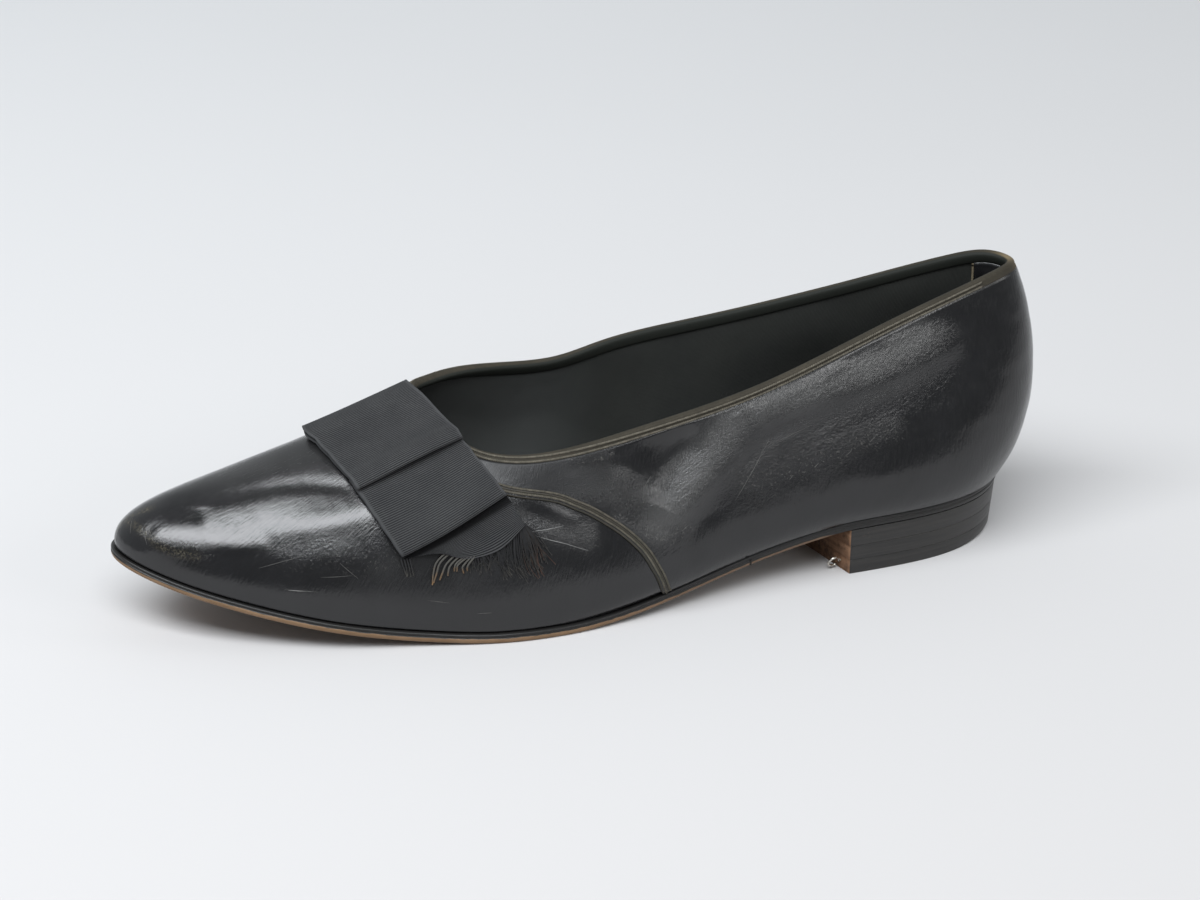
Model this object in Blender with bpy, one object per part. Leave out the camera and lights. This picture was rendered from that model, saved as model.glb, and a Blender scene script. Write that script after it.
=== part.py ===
"""A low-heeled court shoe of black leather with a flat ribbon bow: left shoe, toe toward -X.

Every curved piece grows from one wall surface. The wall is a set of meridians that run from the
feather line, where the upper meets the sole, up to the topline. A place on the wall is given by its
run, the distance round the feather line from the back of the heel by way of the near side, and by
its height, 0 on the feather line and 1 on the topline. A station is a distance from the back of
the seat toward the toe, and a side is a distance from the heel's axis, negative on the near
(outer) side. Sizes are in millimetres until the meshes are made.
"""
import math
from collections import namedtuple

import bmesh
import bpy
import numpy as np

MM = 0.001
GAP = 0.3

# The middle of the whole shoe, which becomes the origin.
MID_STATION = 128.38
MID_SIDE = 1.19

# The sole's underside: a flat at the ball, a sprung toe, a raised waist and a nearly level seat.
TIP_STATION = 262.0
FLAT_FROM = 151.0
FLAT_TO = 167.0
TOE_SPRING = 20.6
SPRING_POWER = 1.75
HEEL_HEIGHT = 12.8
WAIST_END = 66.5
WAIST_FULLNESS = 2.1
SEAT_RISE = 0.8
SOLE_THICK = 2.8
LEDGE_FOREPART = 1.1
LEDGE_SEAT = 0.4
LEDGE_FROM = 60.0
LEDGE_TO = 110.0
SOLE_COLUMN_CLEAR = 2.5

# The sole's edge from the underside up: how far it is cut in, and how far up the edge.
EdgeRow = namedtuple("EdgeRow", "cut_in up")
SOLE_EDGE = (
    EdgeRow(0.9, 0.0),
    EdgeRow(0.1, 0.6),
    EdgeRow(0.0, 1.5),
    EdgeRow(0.25, 1.7),
    EdgeRow(0.1, 1.9),
    EdgeRow(0.35, SOLE_THICK),
)

# The heel: lifts between the floor and the seat, a slanted breast, a worn back corner.
BREAST_NEAR_STATION = 61.6
BREAST_NEAR_SIDE = -27.5
BREAST_SKEW = 9.0
HEEL_RAKE = 1.4
HEEL_INSET = 0.3
TOP_PIECE_TOP = 4.0
LOWER_LIFT_TOP = 8.3
WEAR_FROM = 30.0
WEAR_DEEP = 1.9
WEAR_POWER = 1.4
WEAR_FAR_SHARE = 0.45
WEAR_WIDTH = 40.0

# The wall of the upper. foot: the feather line; top: the topline; rise and swell lift and push out
# the lower half of a meridian; reach, drop and crown place its upper half.
WALL = 1.6
WallRow = namedtuple(
    "WallRow",
    "foot_station foot_side top_station top_side top_up rise swell reach drop crown",
)
WALL_ROWS = (
    WallRow(4.5, 0.0, 2.5, 0.0, 78.2, 16, 12.0, 0.0, 22, 9.8),
    WallRow(9.2, -10.8, 6.5, -6.3, 78.4, 14, 10.5, 0.0, 22, 9.0),
    WallRow(20.5, -20.0, 17.0, -10.6, 76.8, 12, 9.0, 0.0, 22, 5.0),
    WallRow(48.0, -26.2, 45.0, -15.8, 70.2, 10, 8.0, 0.0, 22, 3.5),
    WallRow(93.6, -27.6, 88.0, -21.6, 58.1, 8, 8.0, 0.0, 16, 1.0),
    WallRow(131.0, -33.6, 121.0, -23.4, 51.7, 8, 6.5, 0.0, 13, 1.0),
    WallRow(163.8, -35.0, 149.5, -22.5, 47.4, 13, 2.0, 0.1, 9, 4.0),
    WallRow(187.0, -29.8, 163.0, -19.0, 47.2, 13, 2.0, 0.25, 8, 3.0),
    WallRow(210.3, -24.5, 170.5, -13.0, 49.0, 13, 2.0, 0.40, 9, 2.0),
    WallRow(233.4, -15.8, 175.0, -5.0, 53.0, 13, 2.0, 0.50, 12, 0.0),
    WallRow(250.0, -6.8, 177.3, 2.0, 56.0, 14, 1.5, 0.58, 15, 0.0),
    WallRow(261.0, 9.5, 178.0, 8.0, 57.5, 14, 1.5, 0.62, 18.5, 0.0),
    WallRow(256.0, 20.0, 176.5, 12.8, 57.6, 13, 1.5, 0.60, 22, 0.0),
    WallRow(246.0, 26.0, 172.5, 16.0, 57.4, 13, 1.5, 0.52, 21, 0.0),
    WallRow(230.0, 31.0, 167.0, 18.3, 57.5, 13, 2.0, 0.45, 18, 1.0),
    WallRow(205.0, 36.0, 158.0, 20.5, 57.3, 13, 2.0, 0.35, 14, 2.0),
    WallRow(180.0, 38.0, 146.0, 22.8, 55.9, 14, 2.0, 0.20, 13, 4.0),
    WallRow(155.0, 35.0, 131.0, 24.2, 55.3, 15, 3.0, 0.1, 14, 5.0),
    WallRow(131.0, 28.5, 116.0, 24.8, 58.3, 11, 6.5, 0.0, 16, 3.0),
    WallRow(95.0, 22.0, 88.0, 23.4, 62.2, 12, 8.5, 0.0, 18, 2.0),
    WallRow(48.0, 26.0, 44.0, 16.2, 70.6, 11, 8.0, 0.0, 22, 3.5),
    WallRow(20.5, 20.0, 17.0, 10.6, 76.8, 13, 9.0, 0.0, 22, 5.0),
    WallRow(9.2, 10.8, 6.5, 6.3, 78.6, 14, 10.5, 0.0, 22, 9.0),
)
COLUMNS_PER_ROW = 4
# Small steps along and up the wall, for its directions.
RUN_STEP = 0.1
HEIGHT_STEP = 0.004
OUTER_LEVELS = (0.0, 0.12, 0.25, 0.38, 0.50, 0.60, 0.68, 0.75, 0.82, 0.90)
INNER_LEVELS = (0.86, 0.70, 0.54, 0.38, 0.22, 0.10)

# The quarter laps over the vamp along a seam on each side of the shoe.
LAP = 0.7
LAP_EDGE = 0.3
LAP_CLEAR = 2.5
SEAM_COLUMN_CLEAR = 2.0
SeamRow = namedtuple("SeamRow", "height near_run far_run")
SEAM_ROWS = (
    SeamRow(0.00, 127.1, 433.6),
    SeamRow(0.25, 133.2, 423.0),
    SeamRow(0.40, 139.5, 412.5),
    SeamRow(0.54, 149.8, 399.5),
    SeamRow(0.64, 159.3, 385.5),
    SeamRow(0.71, 169.8, 371.0),
    SeamRow(0.75, 184.5, 358.0),
    SeamRow(0.80, 197.0, 341.5),
    SeamRow(0.88, 208.0, 317.0),
    SeamRow(1.00, 214.0, 293.0),
)
SEAM_MIDDLE_HEIGHT = 0.64
# Run of the middle of the throat, where the vamp's middle column ends.
THROAT_RUN = 254.0

# The binding folded over the topline, and the rebate that it sits in.
BINDING_DEEP = 2.7
BINDING_THICK = 0.55
REBATE = 0.5
RIM_THICK = 0.7
REBATE_EDGE = 0.0025
LEDGE_ROUNDS = 6

INSOLE_THICK = 1.5
INSOLE_CLEAR = 0.7

# The bow: lines across the shoe from the near end to the far end, each with its back end and its
# front end on the wall; the pleat is the middle line.
BowRow = namedtuple("BowRow", "back_run back_height front_run front_height")
BOW_ROWS = (
    BowRow(184.4, 0.740, 208.8, 0.413),
    BowRow(191.4, 0.825, 215.5, 0.489),
    BowRow(199.9, 0.908, 222.9, 0.558),
    BowRow(211.4, 0.979, 231.5, 0.621),
    BowRow(226.0, 1.010, 240.9, 0.675),
    BowRow(238.5, 1.011, 249.3, 0.711),
    BowRow(250.8, 1.009, 258.6, 0.746),
    BowRow(266.0, 1.005, 269.5, 0.776),
    BowRow(290.0, 0.994, 287.0, 0.792),
)
RIBBON_THICK = 0.5
BOW_STEPS = 6
LOOP_STEPS = 9
# How far a fold rounds out past its loop's end, and how much less inside, as shares of a half bow.
FOLD_OUT = 0.05
FOLD_WALL = 0.025
# How a loop lies from its outer fold to the pleat: across the bow, base above the wall, thickness.
LoopRow = namedtuple("LoopRow", "across base thick")
NEAR_LOOP = (
    LoopRow(0.06, 1.3, 2.0),
    LoopRow(0.30, 1.3, 2.0),
    LoopRow(0.65, 1.3, 1.7),
    LoopRow(1.02, 1.3, 1.3),
)
FAR_LOOP = (
    LoopRow(0.93, 3.1, 1.5),
    LoopRow(1.06, 3.0, 1.6),
    LoopRow(1.18, 1.9, 1.8),
    LoopRow(1.45, 1.3, 2.0),
    LoopRow(1.94, 1.3, 2.0),
)

# The loose end of the ribbon below the near loop: from under the loop out to the frayed tips.
TailRow = namedtuple("TailRow", "root_run root_height tip_run tip_height")
TAIL_ROWS = (
    TailRow(212.0, 0.455, 204.0, 0.335),
    TailRow(207.5, 0.520, 195.4, 0.300),
    TailRow(203.0, 0.580, 187.0, 0.360),
    TailRow(199.5, 0.630, 183.0, 0.420),
    TailRow(196.0, 0.670, 177.0, 0.345),
    TailRow(192.5, 0.705, 170.4, 0.280),
    TailRow(189.0, 0.740, 166.0, 0.360),
)
TAIL_BASE = 0.35
TAIL_STRIPS = 13
TAIL_STRIP_SHARE = 0.62
TAIL_BODY_ROWS = 4
TAIL_FRINGE_ROWS = 4
TAIL_BODY_SHARE = 0.55
TAIL_SHORTEST = 0.72
TAIL_SWAY = 0.9
# How fast the strips' lengths and sideways bends change from one strip to the next, in radians.
TAIL_LENGTH_BEAT = 2.3
TAIL_SWAY_BEAT = 1.7
TAIL_SWAY_START = 0.6

# The open wire eye screwed into the heel's breast.
EYE_SIDE = -22.2
EYE_UP = 2.5
EYE_RADIUS = 1.7
EYE_WIRE = 0.32
EYE_SHANK = 2.6
EYE_OPENING = 50.0
EYE_STEPS = 16
EYE_LEAN = 28.0
HOLE_RADIUS = EYE_WIRE + GAP
HOLE_SIDES = 16

# Edges sharper than this stay crisp.
SHARP_DEGREES = 35.0

Finish = namedtuple("Finish", "colour roughness metallic")
FINISHES = {
    "black_leather": Finish((0.013, 0.013, 0.015), 0.28, 0.0),
    "sole_leather": Finish((0.30, 0.19, 0.10), 0.55, 0.0),
    "heel_leather": Finish((0.020, 0.018, 0.017), 0.42, 0.0),
    "insole_leather": Finish((0.035, 0.032, 0.028), 0.70, 0.0),
    "binding_tape": Finish((0.075, 0.062, 0.040), 0.75, 0.0),
    "black_ribbon": Finish((0.024, 0.025, 0.028), 0.80, 0.0),
    "steel_wire": Finish((0.62, 0.60, 0.55), 0.30, 1.0),
}


def underside(station):
    """Height of the sole's underside above the floor."""
    station = np.asarray(station, float)
    ahead = np.clip((station - FLAT_TO) / (TIP_STATION - FLAT_TO), 0, None)
    behind = np.clip((FLAT_FROM - station) / (FLAT_FROM - WAIST_END), 0, 1)
    waist = HEEL_HEIGHT * behind**2 * (WAIST_FULLNESS - (WAIST_FULLNESS - 1) * behind)
    slope = HEEL_HEIGHT * (3 - WAIST_FULLNESS) / (FLAT_FROM - WAIST_END)
    seat = SEAT_RISE * (1 - np.exp(-slope * np.clip(WAIST_END - station, 0, None) / SEAT_RISE))
    return TOE_SPRING * ahead**SPRING_POWER + waist + seat


def closed_spline(knots, rows, at):
    """Points of a smooth closed curve through the rows; the last knot is the full turn."""
    count = len(rows)
    step = np.diff(knots)
    matrix = np.zeros((count, count))
    turn = np.zeros_like(rows)
    for i in range(count):
        behind, ahead = step[i - 1], step[i]
        matrix[i, i - 1] += behind
        matrix[i, i] += 2 * (behind + ahead)
        matrix[i, (i + 1) % count] += ahead
        turn[i] = 6 * ((rows[(i + 1) % count] - rows[i]) / ahead - (rows[i] - rows[i - 1]) / behind)
    bend = np.linalg.solve(matrix, turn)
    at = np.mod(at, knots[-1])
    low = np.clip(np.searchsorted(knots, at, side="right") - 1, 0, count - 1)
    high = (low + 1) % count
    width = step[low][:, None]
    share = ((at - knots[low]) / step[low])[:, None]
    curved = ((1 - share)**3 - (1 - share)) * bend[low] + (share**3 - share) * bend[high]
    return (1 - share) * rows[low] + share * rows[high] + width**2 / 6 * curved


WALL_TABLE = np.array(WALL_ROWS)
FOOT_LOOP = np.vstack([WALL_TABLE[:, :2], WALL_TABLE[:1, :2]])
RUN_KNOTS = np.concatenate([[0.0], np.cumsum(np.linalg.norm(np.diff(FOOT_LOOP, axis=0), axis=1))])
FULL_RUN = RUN_KNOTS[-1]
TOE_RUN = RUN_KNOTS[int(np.argmax(WALL_TABLE[:, 0]))]


def feather(run):
    """Plan of the feather line: station, side, and the outward direction across it."""
    run = np.ravel(run)
    place = closed_spline(RUN_KNOTS, WALL_TABLE[:, :2], run)
    ahead = closed_spline(RUN_KNOTS, WALL_TABLE[:, :2], run + RUN_STEP)
    behind = closed_spline(RUN_KNOTS, WALL_TABLE[:, :2], run - RUN_STEP)
    along = ahead - behind
    along /= np.linalg.norm(along, axis=1)[:, None]
    return place, np.column_stack([along[:, 1], -along[:, 0]])


def placed(station, side, up):
    """Points in the shoe's frame: toe toward -X, near side toward -Y."""
    return np.column_stack([MID_STATION - station, side - MID_SIDE, up])


def wall_handles(run):
    """The four handles of each meridian, from the feather line to the topline."""
    run = np.ravel(run)
    row = WallRow(*closed_spline(RUN_KNOTS, WALL_TABLE, run).T)
    _, outward = feather(run)
    foot_up = underside(row.foot_station) + SOLE_THICK + GAP
    foot = placed(row.foot_station, row.foot_side, foot_up)
    top = placed(row.top_station, row.top_side, row.top_up)
    out = np.column_stack([-outward[:, 0], outward[:, 1], np.zeros(len(run))])
    up = np.array([0.0, 0.0, 1.0])
    low = foot + up * row.rise[:, None] + out * row.swell[:, None]
    lean = (foot - top) * np.array([1.0, 1.0, 0.0])
    high = top + lean * row.reach[:, None] - up * row.drop[:, None] + out * row.crown[:, None]
    return foot, low, high, top


def wall_point(run, height):
    """Points of the wall's outer face at the given runs and heights."""
    foot, low, high, top = wall_handles(run)
    height = np.ravel(height)[:, None]
    rest = 1 - height
    return rest**3 * foot + 3 * rest**2 * height * low + 3 * rest * height**2 * high + height**3 * top


def wall_normal(run, height):
    """Outward directions of the wall's outer face."""
    run = np.ravel(run)
    height = np.ravel(height)
    along = wall_point(run + RUN_STEP, height) - wall_point(run - RUN_STEP, height)
    upward = wall_point(run, height + HEIGHT_STEP) - wall_point(run, height - HEIGHT_STEP)
    normal = np.cross(upward, along)
    return normal / np.linalg.norm(normal, axis=1)[:, None]


def smooth_table(at, knots, values):
    """Values between the rows of a table, along a curve with no corners at the rows."""
    at = np.asarray(at, float)
    low = np.clip(np.searchsorted(knots, at, side="right") - 1, 0, len(knots) - 2)
    width = knots[low + 1] - knots[low]
    share = (at - knots[low]) / width
    slope = np.gradient(values, knots)
    rest = 1 - share
    ends = values[low] * rest**2 * (1 + 2 * share) + values[low + 1] * share**2 * (1 + 2 * rest)
    return ends + width * share * rest * (slope[low] * rest - slope[low + 1] * share)


SEAM_TABLE = SeamRow(*np.array(SEAM_ROWS).T)


def near_seam(height):
    """Run of the near seam at a height on the wall."""
    return smooth_table(height, SEAM_TABLE.height, SEAM_TABLE.near_run)


def far_seam(height):
    """Run of the far seam at a height on the wall."""
    return smooth_table(height, SEAM_TABLE.height, SEAM_TABLE.far_run)


def seam_run(column, height):
    """Run of a column of the wall's grid: its columns bend to follow both seams."""
    near_column = near_seam(SEAM_MIDDLE_HEIGHT)
    far_column = far_seam(SEAM_MIDDLE_HEIGHT)
    column = np.ravel(column)
    near_run = near_seam(height)
    far_run = far_seam(height)
    middle = TOE_RUN + (THROAT_RUN - TOE_RUN) * np.square(height)
    behind_near = column * near_run / near_column
    ahead_near = near_run + (column - near_column) * (middle - near_run) / (TOE_RUN - near_column)
    ahead_far = middle + (column - TOE_RUN) * (far_run - middle) / (far_column - TOE_RUN)
    behind_far = far_run + (column - far_column) * (FULL_RUN - far_run) / (FULL_RUN - far_column)
    pieces = [column < near_column, column < TOE_RUN, column < far_column]
    return np.select(pieces, [behind_near, ahead_near, ahead_far], behind_far)


def lap_cover(run, height):
    """Thickness of the quarter's lap, fading out just ahead of the near seam."""
    return LAP * np.clip((near_seam(height) + LAP_CLEAR - run) / LAP_CLEAR, 0, 1)


def plain_columns():
    """Runs spread evenly between the rows of the wall's table."""
    spans = zip(RUN_KNOTS[:-1], RUN_KNOTS[1:])
    return np.concatenate([np.linspace(a, b, COLUMNS_PER_ROW, endpoint=False) for a, b in spans])


def lapped_columns():
    """Columns of the upper: the plain ones, with a close pair at each seam for the lap's edge."""
    near_column = near_seam(SEAM_MIDDLE_HEIGHT)
    far_column = far_seam(SEAM_MIDDLE_HEIGHT)
    columns = plain_columns()
    for seam in (near_column, far_column):
        columns = columns[np.abs(columns - seam) > SEAM_COLUMN_CLEAR]
        columns = np.concatenate([columns, [seam - LAP_EDGE, seam + LAP_EDGE]])
    return np.sort(columns)


def binding_height(run, deep):
    """Height on the wall that lies the given depth below the topline."""
    _, _, high, top = wall_handles(run)
    return 1 - deep / (3 * np.linalg.norm(top - high, axis=1))


def upper_sections():
    """Closed sections of the upper's wall, up the outside and down the inside, one per column."""
    columns = lapped_columns()
    near_column = near_seam(SEAM_MIDDLE_HEIGHT)
    far_column = far_seam(SEAM_MIDDLE_HEIGHT)
    quarter = (columns < near_column) | (columns > far_column)
    lap = np.where(quarter, LAP, 0.0)
    ones = np.ones(len(columns))
    ledge = ones
    for _ in range(LEDGE_ROUNDS):
        ledge = binding_height(seam_run(columns, ledge), BINDING_DEEP + GAP)
    rings = []

    def add(run, height, offset):
        rings.append(wall_point(run, height) + wall_normal(run, height) * offset[:, None])

    for level in OUTER_LEVELS:
        add(seam_run(columns, level * ledge), level * ledge, lap)
    ledge_run = seam_run(columns, ledge)
    rim_run = seam_run(columns, ones)
    add(ledge_run, ledge - REBATE_EDGE, lap)
    add(ledge_run, ledge, -REBATE * ones)
    add(rim_run, ones, -REBATE * ones)
    add(rim_run, ones, -(REBATE + RIM_THICK) * ones)
    add(ledge_run, ledge, -(REBATE + RIM_THICK) * ones)
    add(ledge_run, ledge - REBATE_EDGE, -WALL * ones)
    foot_run = seam_run(columns, 0.0)
    for level in INNER_LEVELS:
        add(foot_run + (ledge_run - foot_run) * level, level * ledge, -WALL * ones)
    place, outward = feather(foot_run)
    foot_up = underside(place[:, 0]) + SOLE_THICK + GAP
    rim = place - outward * WALL
    rings.append(placed(rim[:, 0], rim[:, 1], foot_up))
    # The lap keeps the wall's foot level, where the wall leaves the sole at a slant.
    rings[0][:, 2] = foot_up
    return np.stack(rings, axis=1)


def binding_sections():
    """Closed sections of the binding: a strip folded over the rim of the wall."""
    run = seam_run(lapped_columns(), 1.0)
    leg = binding_height(run, BINDING_DEEP)
    ones = np.ones(len(run))
    upward = wall_point(run, ones) - wall_point(run, ones - HEIGHT_STEP)
    upward /= np.linalg.norm(upward, axis=1)[:, None]
    outside = BINDING_THICK + GAP - REBATE
    inside = -(REBATE + RIM_THICK + GAP + BINDING_THICK)
    slot_outside = GAP - REBATE
    slot_inside = -(REBATE + RIM_THICK + GAP)
    crown = GAP + BINDING_THICK

    def at(height, offset, above):
        return wall_point(run, height) + wall_normal(run, height) * offset + upward * above

    rings = [
        at(leg, outside, 0),
        at(ones, outside, crown / 2),
        at(ones, slot_outside, crown),
        at(ones, slot_inside, crown),
        at(ones, inside, crown / 2),
        at(leg, inside, 0),
        at(leg, slot_inside, 0),
        at(ones, slot_inside, GAP),
        at(ones, slot_outside, GAP),
        at(leg, slot_outside, 0),
    ]
    return np.stack(rings, axis=1)


def sole_columns():
    """Columns of the sole: the plain ones, with one at each end of the flat under the ball."""
    columns = plain_columns()
    near = np.linspace(0, TOE_RUN, len(columns))
    far = np.linspace(FULL_RUN, TOE_RUN, len(columns))
    for chain in (near, far):
        ends = np.interp((FLAT_FROM, FLAT_TO), feather(chain)[0][:, 0], chain)
        for end in ends:
            columns = columns[np.abs(columns - end) > SOLE_COLUMN_CLEAR]
        columns = np.concatenate([columns, ends])
    return np.sort(columns)


def sole_outline(cut_in):
    """Plan of the sole's edge: the feather line and its ledge, less what is cut in."""
    place, outward = feather(sole_columns())
    ledge = np.interp(place[:, 0], (LEDGE_FROM, LEDGE_TO), (LEDGE_SEAT, LEDGE_FOREPART))
    return place + outward * (ledge - cut_in)[:, None]


def sole_rings():
    """Rings round the sole, one for each row of its edge."""
    rings = []
    for row in SOLE_EDGE:
        plan = sole_outline(row.cut_in)
        rings.append(placed(plan[:, 0], plan[:, 1], underside(plan[:, 0]) + row.up))
    return np.stack(rings)


def insole_rings():
    """Rings round the insole, which lies on the sole inside the wall."""
    place, outward = feather(sole_columns())
    plan = place - outward * (WALL + INSOLE_CLEAR)
    bed = underside(plan[:, 0]) + SOLE_THICK + GAP
    return np.stack([placed(plan[:, 0], plan[:, 1], bed + up) for up in (0.0, INSOLE_THICK)])


def breast_station(side):
    """Station of the heel's front face, which slants forward toward the far side."""
    return BREAST_NEAR_STATION + (side - BREAST_NEAR_SIDE) * math.tan(math.radians(BREAST_SKEW))


def heel_outline():
    """Plan of the heel: from the back round the near side, and the same on the far side."""
    plan = sole_outline(HEEL_INSET)
    toe = int(np.argmax(plan[:, 0]))
    sides = []
    for chain in (plan[:toe], np.vstack([plan[:1], plan[:toe:-1]])):
        spare = breast_station(chain[:, 1]) - chain[:, 0]
        last = int(np.argmax(spare < 0))
        share = spare[last - 1] / (spare[last - 1] - spare[last])
        corner = chain[last - 1] + share * (chain[last] - chain[last - 1])
        sides.append(np.vstack([chain[:last - 1], corner]))
    near, far = sides
    return np.vstack([near, far[:0:-1]]), len(near) - 1


def heel_floor(station, side):
    """Height of the heel's tread above the floor: worn away at the back, most on the near side."""
    back = np.clip((WEAR_FROM - station) / WEAR_FROM, 0, 1)
    lean = np.clip(0.5 - side / WEAR_WIDTH, 0, 1)
    return WEAR_DEEP * back**WEAR_POWER * (WEAR_FAR_SHARE + (1 - WEAR_FAR_SHARE) * lean)


def heel_rings(low, high):
    """The lower and upper ring of one lift; low and high give heights over the plan."""
    plan, _ = heel_outline()
    rings = []
    for level in (low, high):
        up = level(plan[:, 0], plan[:, 1])
        rake = HEEL_RAKE * (1 - up / HEEL_HEIGHT) * (1 - plan[:, 0] / breast_station(plan[:, 1]))
        rings.append(placed(plan[:, 0] + np.clip(rake, 0, None), plan[:, 1], up))
    return np.stack(rings)


def level_at(up):
    """A level face at one height."""
    return lambda station, side: np.full(len(station), up)


def seat_face(station, side):
    """The top of the heel, just under the seat of the sole."""
    return underside(station) - GAP


def bow_place(across, along):
    """Run and height on the wall: across 0 near, 1 pleat, 2 far; along 0 back, 1 front."""
    table = np.array(BOW_ROWS)
    lines = np.linspace(0, 2, len(table))
    row = BowRow(*[np.interp(np.ravel(across), lines, column) for column in table.T])
    along = np.ravel(along)
    run = row.back_run + (row.front_run - row.back_run) * along
    height = row.back_height + (row.front_height - row.back_height) * along
    return run, height


def loop_outline(rows, thinner):
    """Closed outline of a flattened loop: across and above the wall, cut in all round."""
    table = np.array(rows)
    across = np.linspace(table[0, 0], table[-1, 0], LOOP_STEPS)
    base = np.interp(across, table[:, 0], table[:, 1]) + thinner
    top = base + np.interp(across, table[:, 0], table[:, 2]) - 2 * thinner
    middle = (base + top) / 2
    fold = FOLD_OUT - FOLD_WALL * thinner / RIBBON_THICK
    low = np.column_stack([across, base])
    high = np.column_stack([across, top])[::-1]
    end = [[across[-1] + fold, middle[-1]]]
    start = [[across[0] - fold, middle[0]]]
    return np.vstack([low, end, high, start])


def loop_sections(rows):
    """Outer and inner rings of a ribbon loop, at steps along the ribbon's width."""
    outer = loop_outline(rows, 0.0)
    inner = loop_outline(rows, RIBBON_THICK)
    rings = []
    for along in np.linspace(0, 1, BOW_STEPS):
        pair = []
        for outline in (outer, inner):
            run, height = bow_place(outline[:, 0], np.full(len(outline), along))
            point = wall_point(run, height)
            pair.append(point + wall_normal(run, height) * outline[:, 1][:, None])
        rings.append(pair)
    return np.array(rings)


def tail_grid():
    """Lower and upper points of the ribbon's loose end, with the cells that are cloth."""
    table = np.array(TAIL_ROWS)
    whole = TAIL_STRIPS - 1 + TAIL_STRIP_SHARE
    starts = np.arange(TAIL_STRIPS) / whole
    edges = np.column_stack([starts, starts + TAIL_STRIP_SHARE / whole]).ravel()
    rows = TAIL_BODY_ROWS + TAIL_FRINGE_ROWS
    body = np.linspace(0, TAIL_BODY_SHARE, TAIL_BODY_ROWS + 1)
    fringe = np.linspace(TAIL_BODY_SHARE, 1, TAIL_FRINGE_ROWS + 1)[1:]
    depth = np.concatenate([body, fringe])
    scaled = edges * (len(table) - 1)
    row = TailRow(*[np.interp(scaled, range(len(table)), column) for column in table.T])
    strip = np.arange(len(edges)) // 2
    reach = TAIL_SHORTEST + (1 - TAIL_SHORTEST) * (0.5 + 0.5 * np.sin(TAIL_LENGTH_BEAT * strip))
    sway = TAIL_SWAY * np.sin(TAIL_SWAY_BEAT * strip + TAIL_SWAY_START)
    lower, upper = [], []
    for share in depth:
        beyond = max(share - TAIL_BODY_SHARE, 0)
        past = beyond / (1 - TAIL_BODY_SHARE)
        along = share - beyond * (1 - reach)
        run = row.root_run + (row.tip_run - row.root_run) * along + sway * past**2
        height = row.root_height + (row.tip_height - row.root_height) * along
        base = TAIL_BASE + lap_cover(run, height)
        point = wall_point(run, height)
        normal = wall_normal(run, height)
        lower.append(point + normal * base[:, None])
        upper.append(point + normal * (base + RIBBON_THICK)[:, None])
    cloth = np.ones((rows, len(edges) - 1), bool)
    cloth[TAIL_BODY_ROWS:, 1::2] = False
    return np.array(lower), np.array(upper), cloth


def eye_path():
    """The wire eye: a shank into the breast, then an open ring in front of it."""
    skew = math.radians(BREAST_SKEW)
    front = np.array([-math.cos(skew), -math.sin(skew), 0.0])
    lean = math.radians(EYE_LEAN)
    rise = np.array([0.0, -math.sin(lean), math.cos(lean)])
    side = np.array([EYE_SIDE])
    root = placed(breast_station(side), side, np.array([EYE_UP]))[0]
    centre = root + front * (EYE_RADIUS + GAP + EYE_WIRE)
    turn = np.radians(np.linspace(180, 540 - EYE_OPENING, EYE_STEPS))
    ring = [centre + EYE_RADIUS * (math.cos(t) * front - math.sin(t) * rise) for t in turn]
    return root, front, np.array([root - front * EYE_SHANK] + ring)


def clear_scene():
    """An empty scene to build in."""
    for item in list(bpy.data.objects):
        bpy.data.objects.remove(item, do_unlink=True)


def new_collection(name):
    """A collection in the scene."""
    collection = bpy.data.collections.new(name)
    bpy.context.scene.collection.children.link(collection)
    return collection


def new_material(name):
    """A plain surface in one of the finishes."""
    finish = FINISHES[name]
    material = bpy.data.materials.new(name)
    material.use_nodes = True
    shader = material.node_tree.nodes["Principled BSDF"]
    shader.inputs["Base Color"].default_value = (*finish.colour, 1.0)
    shader.inputs["Roughness"].default_value = finish.roughness
    shader.inputs["Metallic"].default_value = finish.metallic
    return material


def solid(name, points, faces, material, collection):
    """A mesh object from points in millimetres, its faces turned outward."""
    mesh = bpy.data.meshes.new(name)
    mesh.from_pydata([tuple(p) for p in np.reshape(points, (-1, 3)) * MM], [], faces)
    work = bmesh.new()
    work.from_mesh(mesh)
    bmesh.ops.recalc_face_normals(work, faces=work.faces)
    work.to_mesh(mesh)
    work.free()
    mesh.shade_smooth()
    mesh.set_sharp_from_angle(angle=math.radians(SHARP_DEGREES))
    mesh.materials.append(material)
    item = bpy.data.objects.new(name, mesh)
    collection.objects.link(item)
    return item


def band_faces(rings, points, rings_close):
    """Quads between neighbouring rings of points."""
    faces = []
    for i in range(rings if rings_close else rings - 1):
        here, there = i * points, (i + 1) % rings * points
        for j in range(points):
            k = (j + 1) % points
            faces.append((here + j, here + k, there + k, there + j))
    return faces


def zip_faces(near, far, stations, first):
    """Triangles across an outline, joining its near and far chains station by station."""
    faces = []
    i = j = 0
    while i < len(near) - 1 or j < len(far) - 1:
        near_next = stations[near[i + 1]] if i < len(near) - 1 else math.inf
        far_next = stations[far[j + 1]] if j < len(far) - 1 else math.inf
        if near_next <= far_next:
            face = (near[i], far[j], near[i + 1])
            i += 1
        else:
            face = (near[i], far[j], far[j + 1])
            j += 1
        if len(set(face)) == 3:
            faces.append(tuple(first + index for index in face))
    return faces


def slab(name, rings, corner, shared, material, collection):
    """A solid between stacked rings: corner ends the near chain, which the far chain may share."""
    levels, count = rings.shape[:2]
    near = list(range(corner + 1))
    far = [0] + list(range(count - 1, corner - (1 if shared else 0), -1))
    faces = band_faces(levels, count, False)
    for level in (0, levels - 1):
        faces += zip_faces(near, far, -rings[level, :, 0], level * count)
    return solid(name, rings, faces, material, collection)


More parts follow.
